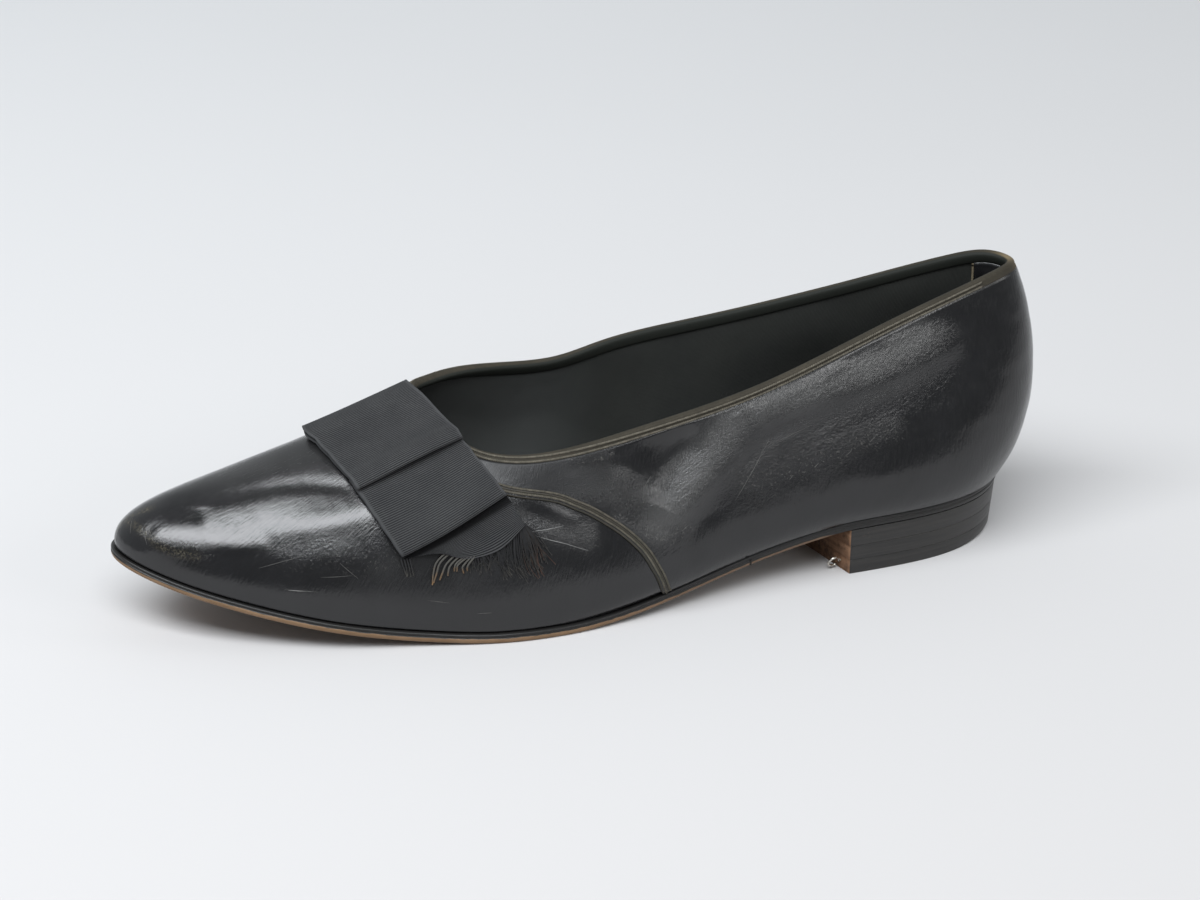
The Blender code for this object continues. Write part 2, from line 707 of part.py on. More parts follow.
def hoop(name, sections, material, collection):
    """A solid ring swept through closed sections."""
    count, points = sections.shape[:2]
    return solid(name, sections, band_faces(count, points, True), material, collection)


def ribbon_loop(name, rows, material, collection):
    """A hollow ribbon loop, open along its front and back edges."""
    rings = loop_sections(rows)
    steps, _, points = rings.shape[:3]
    faces = []
    for i in range(steps - 1):
        for side in (0, 1):
            here, there = (2 * i + side) * points, (2 * i + 2 + side) * points
            for j in range(points):
                k = (j + 1) % points
                faces.append((here + j, here + k, there + k, there + j))
    for i in (0, steps - 1):
        outer, inner = 2 * i * points, (2 * i + 1) * points
        for j in range(points):
            k = (j + 1) % points
            faces.append((outer + j, outer + k, inner + k, inner + j))
    return solid(name, rings, faces, material, collection)


def fringe(name, material, collection):
    """The ribbon's loose end: one cloth whose strips grow out of its lower edge."""
    lower, upper, cloth = tail_grid()
    rows, columns = lower.shape[:2]
    layer = rows * columns
    faces = []
    for i, j in np.argwhere(cloth):
        a, b = i * columns + j, i * columns + j + 1
        c, d = b + columns, a + columns
        faces.append((a, b, c, d))
        faces.append((a + layer, b + layer, c + layer, d + layer))
        around = (((i - 1, j), a, b), ((i, j + 1), b, c), ((i + 1, j), c, d), ((i, j - 1), d, a))
        for (row, column), start, end in around:
            inside = 0 <= row < rows - 1 and 0 <= column < columns - 1
            if not (inside and cloth[row, column]):
                faces.append((start, end, end + layer, start + layer))
    used = sorted({index for face in faces for index in face})
    renumber = {old: new for new, old in enumerate(used)}
    points = np.vstack([lower.reshape(-1, 3), upper.reshape(-1, 3)])[used]
    faces = [tuple(renumber[index] for index in face) for face in faces]
    return solid(name, points, faces, material, collection)


def wire(name, path, material, collection):
    """A bent wire of round section."""
    curve = bpy.data.curves.new(name, "CURVE")
    curve.dimensions = "3D"
    curve.bevel_depth = EYE_WIRE * MM
    curve.bevel_resolution = 1
    curve.use_fill_caps = True
    spline = curve.splines.new("POLY")
    spline.points.add(len(path) - 1)
    for point, place in zip(spline.points, path * MM):
        point.co = (*place, 1.0)
    curve.materials.append(material)
    item = bpy.data.objects.new(name, curve)
    collection.objects.link(item)
    return item


def drill(target, root, front, collection):
    """A blind hole for the eye's shank, cut into the heel's breast."""
    depth = 2 * (EYE_SHANK + GAP) * MM
    bpy.ops.mesh.primitive_cylinder_add(vertices=HOLE_SIDES, radius=HOLE_RADIUS * MM, depth=depth)
    cutter = bpy.context.object
    cutter.name = "shank_hole"
    for owner in list(cutter.users_collection):
        owner.objects.unlink(cutter)
    collection.objects.link(cutter)
    cutter.location = root * MM
    cutter.rotation_euler = (math.pi / 2, 0, math.atan2(front[1], front[0]) + math.pi / 2)
    cutter.hide_render = True
    cutter.display_type = "WIRE"
    cut = target.modifiers.new("shank_hole", "BOOLEAN")
    cut.operation = "DIFFERENCE"
    cut.solver = "EXACT"
    cut.object = cutter


def build():
    """All the pieces of the shoe."""
    clear_scene()
    shoe = new_collection("flat_shoe")
    cutters = new_collection("cutters")
    finish = {name: new_material(name) for name in FINISHES}

    sole = sole_rings()
    toe = int(np.argmin(sole[0, :, 0]))
    slab("outsole", sole, toe, True, finish["sole_leather"], shoe)
    slab("insole", insole_rings(), toe, True, finish["insole_leather"], shoe)

    _, corner = heel_outline()
    lifts = (
        ("heel_top_piece", heel_floor, level_at(TOP_PIECE_TOP)),
        ("heel_lift_lower", level_at(TOP_PIECE_TOP + GAP), level_at(LOWER_LIFT_TOP)),
        ("heel_lift_upper", level_at(LOWER_LIFT_TOP + GAP), seat_face),
    )
    heel = {}
    for name, low, high in lifts:
        heel[name] = slab(name, heel_rings(low, high), corner, False, finish["heel_leather"], shoe)

    hoop("upper", upper_sections(), finish["black_leather"], shoe)
    hoop("topline_binding", binding_sections(), finish["binding_tape"], shoe)

    ribbon_loop("bow_loop_near", NEAR_LOOP, finish["black_ribbon"], shoe)
    ribbon_loop("bow_loop_far", FAR_LOOP, finish["black_ribbon"], shoe)
    fringe("bow_tail", finish["black_ribbon"], shoe)

    root, front, path = eye_path()
    wire("heel_eye", path, finish["steel_wire"], shoe)
    drill(heel["heel_top_piece"], root, front, cutters)


build()
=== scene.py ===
"""Looks of the low-heeled court shoe: worn black leather, a ribbed ribbon bow, a stacked heel.

The tables and the wall surface are the part's own, apart from a smoother near seam, in millimetres until
the meshes are made. A place on the wall is a run, the distance round the feather line from the back of
the heel by way of the near side, and a height, 0 on the feather line and 1 on the topline.
"""
import math
from collections import namedtuple

import bpy
import numpy as np
from mathutils import Matrix, Vector


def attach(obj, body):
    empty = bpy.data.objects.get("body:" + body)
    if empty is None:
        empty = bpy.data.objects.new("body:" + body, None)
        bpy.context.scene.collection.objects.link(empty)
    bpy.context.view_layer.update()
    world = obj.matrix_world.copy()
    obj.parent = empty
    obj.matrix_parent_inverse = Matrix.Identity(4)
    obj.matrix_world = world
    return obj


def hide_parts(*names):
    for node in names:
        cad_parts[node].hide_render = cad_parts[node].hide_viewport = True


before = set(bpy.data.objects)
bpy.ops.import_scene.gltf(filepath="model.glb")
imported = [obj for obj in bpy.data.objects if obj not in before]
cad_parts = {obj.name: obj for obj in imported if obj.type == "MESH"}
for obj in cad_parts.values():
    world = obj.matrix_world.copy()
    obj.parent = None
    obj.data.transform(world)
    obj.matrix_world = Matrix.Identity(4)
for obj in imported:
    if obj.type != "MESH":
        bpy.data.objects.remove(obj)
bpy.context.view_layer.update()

MM = 0.001
GAP = 0.3
MID_STATION = 128.38
MID_SIDE = 1.19

# The sole's underside and edge.
TIP_STATION = 262.0
FLAT_FROM = 151.0
FLAT_TO = 167.0
TOE_SPRING = 20.6
SPRING_POWER = 1.75
HEEL_HEIGHT = 12.8
WAIST_END = 66.5
WAIST_FULLNESS = 2.1
SEAT_RISE = 0.8
SOLE_THICK = 2.8
LEDGE_FOREPART = 1.1
LEDGE_SEAT = 0.4
LEDGE_FROM = 60.0
LEDGE_TO = 110.0

# The heel.
BREAST_NEAR_STATION = 61.6
BREAST_NEAR_SIDE = -27.5
BREAST_SKEW = 9.0
HEEL_RAKE = 1.4
HEEL_INSET = 0.3
TOP_PIECE_TOP = 4.0
LOWER_LIFT_TOP = 8.3
WEAR_FROM = 30.0
WEAR_DEEP = 1.9
WEAR_POWER = 1.4
WEAR_FAR_SHARE = 0.45
WEAR_WIDTH = 40.0

# The wall of the upper.
WALL = 1.6
WallRow = namedtuple(
    "WallRow", "foot_station foot_side top_station top_side top_up rise swell reach drop crown")
WALL_TABLE = np.array((
    (4.5, 0.0, 2.5, 0.0, 78.2, 16, 12.0, 0.0, 22, 9.8),
    (9.2, -10.8, 6.5, -6.3, 78.4, 14, 10.5, 0.0, 22, 9.0),
    (20.5, -20.0, 17.0, -10.6, 76.8, 12, 9.0, 0.0, 22, 5.0),
    (48.0, -26.2, 45.0, -15.8, 70.2, 10, 8.0, 0.0, 22, 3.5),
    (93.6, -27.6, 88.0, -21.6, 58.1, 8, 8.0, 0.0, 16, 1.0),
    (131.0, -33.6, 121.0, -23.4, 51.7, 8, 6.5, 0.0, 13, 1.0),
    (163.8, -35.0, 149.5, -22.5, 47.4, 13, 2.0, 0.1, 9, 4.0),
    (187.0, -29.8, 163.0, -19.0, 47.2, 13, 2.0, 0.25, 8, 3.0),
    (210.3, -24.5, 170.5, -13.0, 49.0, 13, 2.0, 0.40, 9, 2.0),
    (233.4, -15.8, 175.0, -5.0, 53.0, 13, 2.0, 0.50, 12, 0.0),
    (250.0, -6.8, 177.3, 2.0, 56.0, 14, 1.5, 0.58, 15, 0.0),
    (261.0, 9.5, 178.0, 8.0, 57.5, 14, 1.5, 0.62, 18.5, 0.0),
    (256.0, 20.0, 176.5, 12.8, 57.6, 13, 1.5, 0.60, 22, 0.0),
    (246.0, 26.0, 172.5, 16.0, 57.4, 13, 1.5, 0.52, 21, 0.0),
    (230.0, 31.0, 167.0, 18.3, 57.5, 13, 2.0, 0.45, 18, 1.0),
    (205.0, 36.0, 158.0, 20.5, 57.3, 13, 2.0, 0.35, 14, 2.0),
    (180.0, 38.0, 146.0, 22.8, 55.9, 14, 2.0, 0.20, 13, 4.0),
    (155.0, 35.0, 131.0, 24.2, 55.3, 15, 3.0, 0.1, 14, 5.0),
    (131.0, 28.5, 116.0, 24.8, 58.3, 11, 6.5, 0.0, 16, 3.0),
    (95.0, 22.0, 88.0, 23.4, 62.2, 12, 8.5, 0.0, 18, 2.0),
    (48.0, 26.0, 44.0, 16.2, 70.6, 11, 8.0, 0.0, 22, 3.5),
    (20.5, 20.0, 17.0, 10.6, 76.8, 13, 9.0, 0.0, 22, 5.0),
    (9.2, 10.8, 6.5, 6.3, 78.6, 14, 10.5, 0.0, 22, 9.0),
))
RUN_STEP = 0.1
HEIGHT_STEP = 0.004

# The seams where the quarters lap over the vamp.
LAP = 0.7
SeamRow = namedtuple("SeamRow", "height near_run far_run")
SEAM = SeamRow(*np.array((
    (0.00, 127.1, 433.6),
    (0.25, 133.2, 423.0),
    (0.40, 139.5, 412.5),
    (0.54, 149.8, 399.5),
    (0.64, 160.4, 385.5),
    (0.71, 171.4, 371.0),
    (0.75, 185.0, 358.0),
    (0.80, 197.0, 341.5),
    (0.88, 208.0, 317.0),
    (1.00, 214.0, 293.0),
)).T)
SEAM_MIDDLE_HEIGHT = 0.64
THROAT_RUN = 254.0

# The bow: where it lies on the wall, and each loop's place across it, base above the wall and thickness.
BowRow = namedtuple("BowRow", "back_run back_height front_run front_height")
BOW_TABLE = np.array((
    (184.4, 0.740, 208.8, 0.413),
    (191.4, 0.825, 215.5, 0.489),
    (199.9, 0.908, 222.9, 0.558),
    (211.4, 0.979, 231.5, 0.621),
    (226.0, 1.010, 240.9, 0.675),
    (238.5, 1.011, 249.3, 0.711),
    (250.8, 1.009, 258.6, 0.746),
    (266.0, 1.005, 269.5, 0.776),
    (290.0, 0.994, 287.0, 0.792),
))
NEAR_LOOP = np.array(((0.06, 1.3, 2.0), (0.30, 1.3, 2.0), (0.65, 1.3, 1.7), (1.02, 1.3, 1.3)))
FAR_LOOP = np.array((
    (0.93, 3.1, 1.5), (1.06, 3.0, 1.6), (1.18, 1.9, 1.8), (1.45, 1.3, 2.0), (1.94, 1.3, 2.0),
))

# The wire eye.
EYE_SIDE = -22.2
EYE_UP = 2.5
EYE_RADIUS = 1.7
EYE_WIRE = 0.32
EYE_SHANK = 2.6
EYE_OPENING = 50.0
EYE_LEAN = 28.0


def unit(vectors):
    """The same directions with length 1."""
    return vectors / np.linalg.norm(vectors, axis=-1, keepdims=True)


def reach_along(path):
    """Distance of each point of a path from its start."""
    return np.concatenate([[0.0], np.cumsum(np.linalg.norm(np.diff(path, axis=0), axis=1))])


def along_path(path, reach, at):
    """Points at distances along a path."""
    return np.column_stack([np.interp(at, reach, column) for column in path.T])


def grid(first, second):
    """The two ways of a grid, each as an array over the whole grid."""
    return np.meshgrid(first, second, indexing="ij")


def smoothstep(low, high, value):
    """0 below low, 1 above high, and smooth between."""
    share = np.clip((value - low) / (high - low), 0, 1)
    return share * share * (3 - 2 * share)


def smooth_table(at, knots, values):
    """Values between the rows of a table, along a curve with no corners at the rows."""
    at = np.asarray(at, float)
    low = np.clip(np.searchsorted(knots, at, side="right") - 1, 0, len(knots) - 2)
    width = knots[low + 1] - knots[low]
    share = (at - knots[low]) / width
    slope = np.gradient(values, knots)
    rest = 1 - share
    ends = values[low] * rest**2 * (1 + 2 * share) + values[low + 1] * share**2 * (1 + 2 * rest)
    return ends + width * share * rest * (slope[low] * rest - slope[low + 1] * share)


def underside(station):
    """Height of the sole's underside above the floor."""
    station = np.asarray(station, float)
    ahead = np.clip((station - FLAT_TO) / (TIP_STATION - FLAT_TO), 0, None)
    behind = np.clip((FLAT_FROM - station) / (FLAT_FROM - WAIST_END), 0, 1)
    waist = HEEL_HEIGHT * behind**2 * (WAIST_FULLNESS - (WAIST_FULLNESS - 1) * behind)
    slope = HEEL_HEIGHT * (3 - WAIST_FULLNESS) / (FLAT_FROM - WAIST_END)
    seat = SEAT_RISE * (1 - np.exp(-slope * np.clip(WAIST_END - station, 0, None) / SEAT_RISE))
    return TOE_SPRING * ahead**SPRING_POWER + waist + seat


def spline_bends(knots, rows):
    """Second derivatives of a smooth closed curve through the rows."""
    count = len(rows)
    step = np.diff(knots)
    matrix = np.zeros((count, count))
    turn = np.zeros_like(rows)
    for i in range(count):
        behind, ahead = step[i - 1], step[i]
        matrix[i, i - 1] += behind
        matrix[i, i] += 2 * (behind + ahead)
        matrix[i, (i + 1) % count] += ahead
        turn[i] = 6 * ((rows[(i + 1) % count] - rows[i]) / ahead - (rows[i] - rows[i - 1]) / behind)
    return np.linalg.solve(matrix, turn)


RUN_KNOTS = reach_along(np.vstack([WALL_TABLE[:, :2], WALL_TABLE[:1, :2]]))
FULL_RUN = RUN_KNOTS[-1]
TOE_RUN = RUN_KNOTS[int(np.argmax(WALL_TABLE[:, 0]))]
WALL_BENDS = spline_bends(RUN_KNOTS, WALL_TABLE)


def wall_row(run, columns=slice(None)):
    """Values of the wall's table at the given runs."""
    run = np.mod(np.ravel(run), FULL_RUN)
    step = np.diff(RUN_KNOTS)
    low = np.clip(np.searchsorted(RUN_KNOTS, run, side="right") - 1, 0, len(WALL_TABLE) - 1)
    high = (low + 1) % len(WALL_TABLE)
    share = ((run - RUN_KNOTS[low]) / step[low])[:, None]
    rows, bend = WALL_TABLE[:, columns], WALL_BENDS[:, columns]
    curved = ((1 - share)**3 - (1 - share)) * bend[low] + (share**3 - share) * bend[high]
    return (1 - share) * rows[low] + share * rows[high] + step[low][:, None]**2 / 6 * curved


def feather(run):
    """Plan of the feather line: station, side, and the outward direction across it."""
    run = np.ravel(run)
    plan = slice(0, 2)
    along = unit(wall_row(run + RUN_STEP, plan) - wall_row(run - RUN_STEP, plan))
    return wall_row(run, plan), np.column_stack([along[:, 1], -along[:, 0]])


def placed(station, side, up):
    """Points in the shoe's frame: toe toward -X, near side toward -Y."""
    return np.column_stack([MID_STATION - station, side - MID_SIDE, up])


def wall_handles(run):
    """The four handles of each meridian, from the feather line to the topline."""
    run = np.ravel(run)
    row = WallRow(*wall_row(run).T)
    _, outward = feather(run)
    foot = placed(row.foot_station, row.foot_side, underside(row.foot_station) + SOLE_THICK + GAP)
    top = placed(row.top_station, row.top_side, row.top_up)
    out = np.column_stack([-outward[:, 0], outward[:, 1], np.zeros(len(run))])
    up = np.array([0.0, 0.0, 1.0])
    low = foot + up * row.rise[:, None] + out * row.swell[:, None]
    lean = (foot - top) * np.array([1.0, 1.0, 0.0])
    high = top + lean * row.reach[:, None] - up * row.drop[:, None] + out * row.crown[:, None]
    return foot, low, high, top


def wall_point(run, height):
    """Points of the wall's outer face at the given runs and heights."""
    run, height = np.broadcast_arrays(np.asarray(run, float), np.asarray(height, float))
    foot, low, high, top = wall_handles(run)
    height = np.ravel(height)[:, None]
    rest = 1 - height
    return rest**3 * foot + 3 * rest**2 * height * low + 3 * rest * height**2 * high + height**3 * top


def wall_normal(run, height):
    """Outward directions of the wall's outer face."""
    along = wall_point(run + RUN_STEP, height) - wall_point(run - RUN_STEP, height)
    upward = wall_point(run, height + HEIGHT_STEP) - wall_point(run, height - HEIGHT_STEP)
    return unit(np.cross(upward, along))


def wall_grid(run, height, above):
    """A grid of points above the wall, those on the feather line level with it."""
    flat = wall_point(run, height)
    points = flat + wall_normal(run, height) * np.reshape(above, (-1, 1))
    points[:, 2] = np.where(np.ravel(height) <= 0, flat[:, 2], points[:, 2])
    return points.reshape(run.shape + (3,))


def near_seam(height):
    """Run of the near seam at a height on the wall."""
    return smooth_table(height, SEAM.height, SEAM.near_run)


def far_seam(height):
    """Run of the far seam at a height on the wall."""
    return smooth_table(height, SEAM.height, SEAM.far_run)


NEAR_COLUMN = float(near_seam(SEAM_MIDDLE_HEIGHT))
FAR_COLUMN = float(far_seam(SEAM_MIDDLE_HEIGHT))


def seam_run(column, height):
    """Run of a column of the wall's grid: its columns bend to follow both seams."""
    near_run = near_seam(height)
    far_run = far_seam(height)
    middle = TOE_RUN + (THROAT_RUN - TOE_RUN) * np.square(height)
    behind_near = column * near_run / NEAR_COLUMN
    ahead_near = near_run + (column - NEAR_COLUMN) * (middle - near_run) / (TOE_RUN - NEAR_COLUMN)
    ahead_far = middle + (column - TOE_RUN) * (far_run - middle) / (FAR_COLUMN - TOE_RUN)
    behind_far = far_run + (column - FAR_COLUMN) * (FULL_RUN - far_run) / (FULL_RUN - FAR_COLUMN)
    pieces = [column < NEAR_COLUMN, column < TOE_RUN, column < FAR_COLUMN]
    return np.select(pieces, [behind_near, ahead_near, ahead_far], behind_far)


def top_depth(run):
    """Distance below the topline for each unit of height, close to the topline."""
    _, _, high, top = wall_handles(run)
    return 3 * np.linalg.norm(top - high, axis=1)


# Meshes.


def mesh_piece(name, points, faces, materials, attributes=None, face_materials=None, uv=None):
    """A smooth mesh object from points in millimetres, its faces turned outward."""
    mesh = bpy.data.meshes.new(name)
    points = np.reshape(points, (-1, 3)) * MM
    mesh.from_pydata(points.tolist(), [], faces)
    mesh.validate()
    mesh.calc_loop_triangles()
    corner = np.zeros(len(mesh.loop_triangles) * 3, np.int32)
    mesh.loop_triangles.foreach_get("vertices", corner)
    a, b, c = points[corner.reshape(-1, 3)].transpose(1, 0, 2)
    if np.sum(a * np.cross(b, c)) < 0:
        mesh.flip_normals()
    mesh.shade_smooth()
    for key, values in (attributes or {}).items():
        layer = mesh.attributes.new(key, "FLOAT", "POINT")
        layer.data.foreach_set("value", np.ravel(values).astype(np.float32))
    if uv is not None:
        index = np.zeros(len(mesh.loops), np.int32)
        mesh.loops.foreach_get("vertex_index", index)
        layer = mesh.uv_layers.new(name="UVMap")
        layer.data.foreach_set("uv", np.reshape(uv, (-1, 2))[index].astype(np.float32).ravel())
    for material in materials if isinstance(materials, list) else [materials]:
        mesh.materials.append(material)
    if face_materials is not None:
        mesh.polygons.foreach_set("material_index", face_materials)
    item = bpy.data.objects.new(name, mesh)
    bpy.context.scene.collection.objects.link(item)
    return item


def grid_quads(rows, columns, close_rows=False, close_columns=False):
    """Quads of a grid of points, closed along either way."""
    row_count = rows if close_rows else rows - 1
    column_count = columns if close_columns else columns - 1
    i, j = grid(np.arange(row_count), np.arange(column_count))
    k, m = (i + 1) % rows, (j + 1) % columns
    quads = np.stack([i * columns + j, i * columns + m, k * columns + m, k * columns + j], axis=-1)
    return quads.reshape(-1, 4).tolist()


def with_back(quads, shift):
    """Quads, and the same ones facing the other way on points further on."""
    return quads + [[i + shift for i in quad[::-1]] for quad in quads]


def slab(top, bottom):
    """Points and faces of a closed slab between two grids of points."""
    rows, columns = top.shape[:2]
    shift = rows * columns
    index = np.arange(shift).reshape(rows, columns)
    border = np.concatenate([index[0], index[1:, -1], index[-1, -2::-1], index[-2:0:-1, 0]]).tolist()
    rim = [(b, a, a + shift, b + shift) for a, b in zip(border, border[1:] + border[:1])]
    faces = with_back(grid_quads(rows, columns), shift) + rim
    return np.vstack([top.reshape(-1, 3), bottom.reshape(-1, 3)]), faces


def tube(path, radius, sides):
    """Points and faces of a bent rod with closed ends; the radius may vary along it."""
    along = unit(np.gradient(path, axis=0))
    upright = abs(along[:, 2]).max() > 0.9
    first = unit(np.cross(along, (0.3, 1.0, 0.1) if upright else (0.0, 0.0, 1.0)))
    second = np.cross(along, first)
    turn = np.linspace(0, 2 * math.pi, sides, endpoint=False)[None, :, None]
    radius = np.broadcast_to(radius, (len(path),))[:, None, None]
    points = path[:, None] + radius * (first[:, None] * np.cos(turn) + second[:, None] * np.sin(turn))
    last = (len(path) - 1) * sides
    ends = [list(range(sides)), list(range(last, last + sides))[::-1]]
    return points.reshape(-1, 3), grid_quads(len(path), sides, close_columns=True) + ends


def joined(parts):
    """One list of points and faces from several."""
    points, faces, first = [], [], 0
    for some, polygons in parts:
        points.append(some)
        faces += [[first + i for i in face] for face in polygons]
        first += len(some)
    return np.vstack(points), faces


# Relief: creases and dents are soft ridges and troughs along lines on the wall.


def line_places(line, count):
    """Runs and heights at even steps through the points of a line on the wall."""
    fine = np.linspace(0, len(line) - 1, count)
    return [np.interp(fine, range(len(line)), column) for column in np.array(line, float).T]


def line_distance(points, line):
    """Distance of points to a line on the wall, share along it, and which side of it they are on."""
    count = (len(line) - 1) * 6
    run, height = line_places(line, count + 1)
    path, normal = wall_point(run, height), wall_normal(run, height)
    best = np.full(len(points), 1e9)
    share, side = np.zeros((2, len(points)))
    for i in range(count):
        start, step = path[i], path[i + 1] - path[i]
        along = np.clip((points - start) @ step / (step @ step), 0, 1)
        away = points - start - along[:, None] * step
        distance = np.linalg.norm(away, axis=1)
        closer = distance < best
        best = np.where(closer, distance, best)
        share = np.where(closer, (i + along) / count, share)
        side = np.where(closer, away @ np.cross(normal[i], unit(step)), side)
    return best, share, side


def creased(points, creases):
    """Sum of the creases at the given points."""
    total = np.zeros(len(points))
    for line, deep, left, right, start, end in creases:
        distance, share, side = line_distance(points, line)
        fade = smoothstep(0, start, share) * smoothstep(0, end, 1 - share)
        total += deep * np.exp(-(distance / np.where(side > 0, left, right))**2) * fade
    return total


def streaks(points, lines):
    """Largest of several soft bands on the wall."""
    total = np.zeros(len(points))
    for line, width, strength in lines:
        total = np.maximum(total, strength * np.exp(-(line_distance(points, line)[0] / width)**2))
    return total


def wave_field(points, seed, count, wavelength):
    """Smooth random undulation of about unit height."""
    source = np.random.default_rng(seed)
    total = np.zeros(len(points))
    for _ in range(count):
        way = unit(source.normal(size=3))
        length = wavelength * source.uniform(0.7, 1.6)
        total += np.sin(points @ way * 2 * math.pi / length + source.uniform(0, 2 * math.pi))
    return total / math.sqrt(count / 2)


# Each crease: a line on the wall, its depth, a ridge being positive, its width on the left and right of the
# line, and the shares of its length over which it fades in and out.
VAMP_CREASES = (
    ([(279, .37), (275.5, .43), (271, .475), (265.5, .545), (261, .60), (255, .64), (245, .665), (236, .68)],
     -0.24, 2.4, 2.2, 0.12, 0.2),
    ([(264, .42), (268, .405), (272, .385), (276, .355)], -0.36, 3.4, 2.4, 0.3, 0.3),
    ([(286, .52), (278, .56), (270, .62), (262, .70), (256, .77)], 0.13, 3.6, 3.4, 0.15, 0.25),
    ([(246, .39), (252.5, .292), (259, .247), (267.5, .182), (272.5, .20)], 0.50, 3.0, 5.0, 0.25, 0.2),
    ([(224, .63), (229, .59), (234, .535), (242, .465), (249, .375)], 0.42, 3.8, 4.8, 0.1, 0.3),
    ([(180, .68), (172, .62), (163, .55), (155, .48)], -0.20, 2.2, 2.2, 0.3, 0.3),
    ([(174, .70), (166, .63), (158, .56)], 0.14, 1.8, 1.8, 0.3, 0.3),
    ([(196, .30), (186, .34), (176, .40), (166, .44)], 0.10, 3.5, 3.5, 0.3, 0.3),
    ([(300, .60), (322, .62), (340, .58), (352, .52)], -0.32, 2.4, 2.4, 0.2, 0.25),
    ([(330, .75), (345, .70), (362, .62), (374, .55)], 0.22, 3.2, 3.2, 0.2, 0.25),
    ([(352, .40), (366, .46), (380, .50)], -0.20, 2.6, 2.6, 0.3, 0.3),
)
QUARTER_CREASES = (
    ([(30, .84), (42, .80), (51.5, .79), (61, .785), (70.5, .80), (80.5, .815), (91, .825), (101, .82),
      (106.5, .775), (113.5, .685), (121, .60), (129, .515), (131, .44)], 1.25, 3.8, 8.0, 0.10, 0.12),
    ([(137, .58), (135, .70), (130, .82), (122, .91)], -0.55, 5.0, 5.0, 0.25, 0.25),
    ([(109, .48), (120.5, .45), (123.5, .34), (121, .18), (116, .04)], -0.18, 2.4, 2.4, 0.2, 0.2),
    ([(110, .60), (101, .70), (93, .76)], -0.20, 1.6, 1.6, 0.3, 0.3),
    ([(98, .64), (90, .71), (83, .75)], 0.16, 1.5, 1.5, 0.3, 0.3),
    ([(86, .66), (78, .71), (70, .735)], -0.16, 1.6, 1.6, 0.3, 0.3),
    ([(74, .67), (64, .70), (54, .735)], 0.14, 1.8, 1.8, 0.3, 0.3),
    ([(113, .87), (108, .92), (104, .95)], 0.16, 1.1, 1.1, 0.3, 0.3),
    ([(84, .88), (78, .915), (71, .93)], 0.14, 1.1, 1.1, 0.3, 0.3),
    ([(152, .88), (146, .80), (141, .70), (138, .60)], -0.15, 2.6, 2.6, 0.3, 0.3),
    ([(170, .86), (160, .80), (152, .72)], 0.12, 3.0, 3.0, 0.3, 0.3),
    ([(525, .84), (510, .80), (494, .79), (478, .80), (466, .76), (456, .66), (448, .54), (444, .44)],
     0.80, 8.0, 4.0, 0.12, 0.15),
    ([(436, .60), (438, .74), (444, .86)], -0.35, 4.5, 4.5, 0.25, 0.25),
    ([(470, .62), (480, .68), (490, .71)], -0.16, 1.8, 1.8, 0.3, 0.3),
    ([(496, .62), (506, .67), (516, .71)], 0.14, 1.8, 1.8, 0.3, 0.3),
)


def vamp_relief(points):
    """Creases and slow unevenness of the vamp."""
    uneven = 0.03 * wave_field(points, 3, 14, 18) + 0.006 * wave_field(points, 4, 18, 5)
    return creased(points, VAMP_CREASES) + uneven


def quarter_relief(points):
    """Creases and slow unevenness of the quarters."""
    uneven = 0.05 * wave_field(points, 5, 14, 20) + 0.014 * wave_field(points, 6, 20, 5)
    return creased(points, QUARTER_CREASES) + uneven


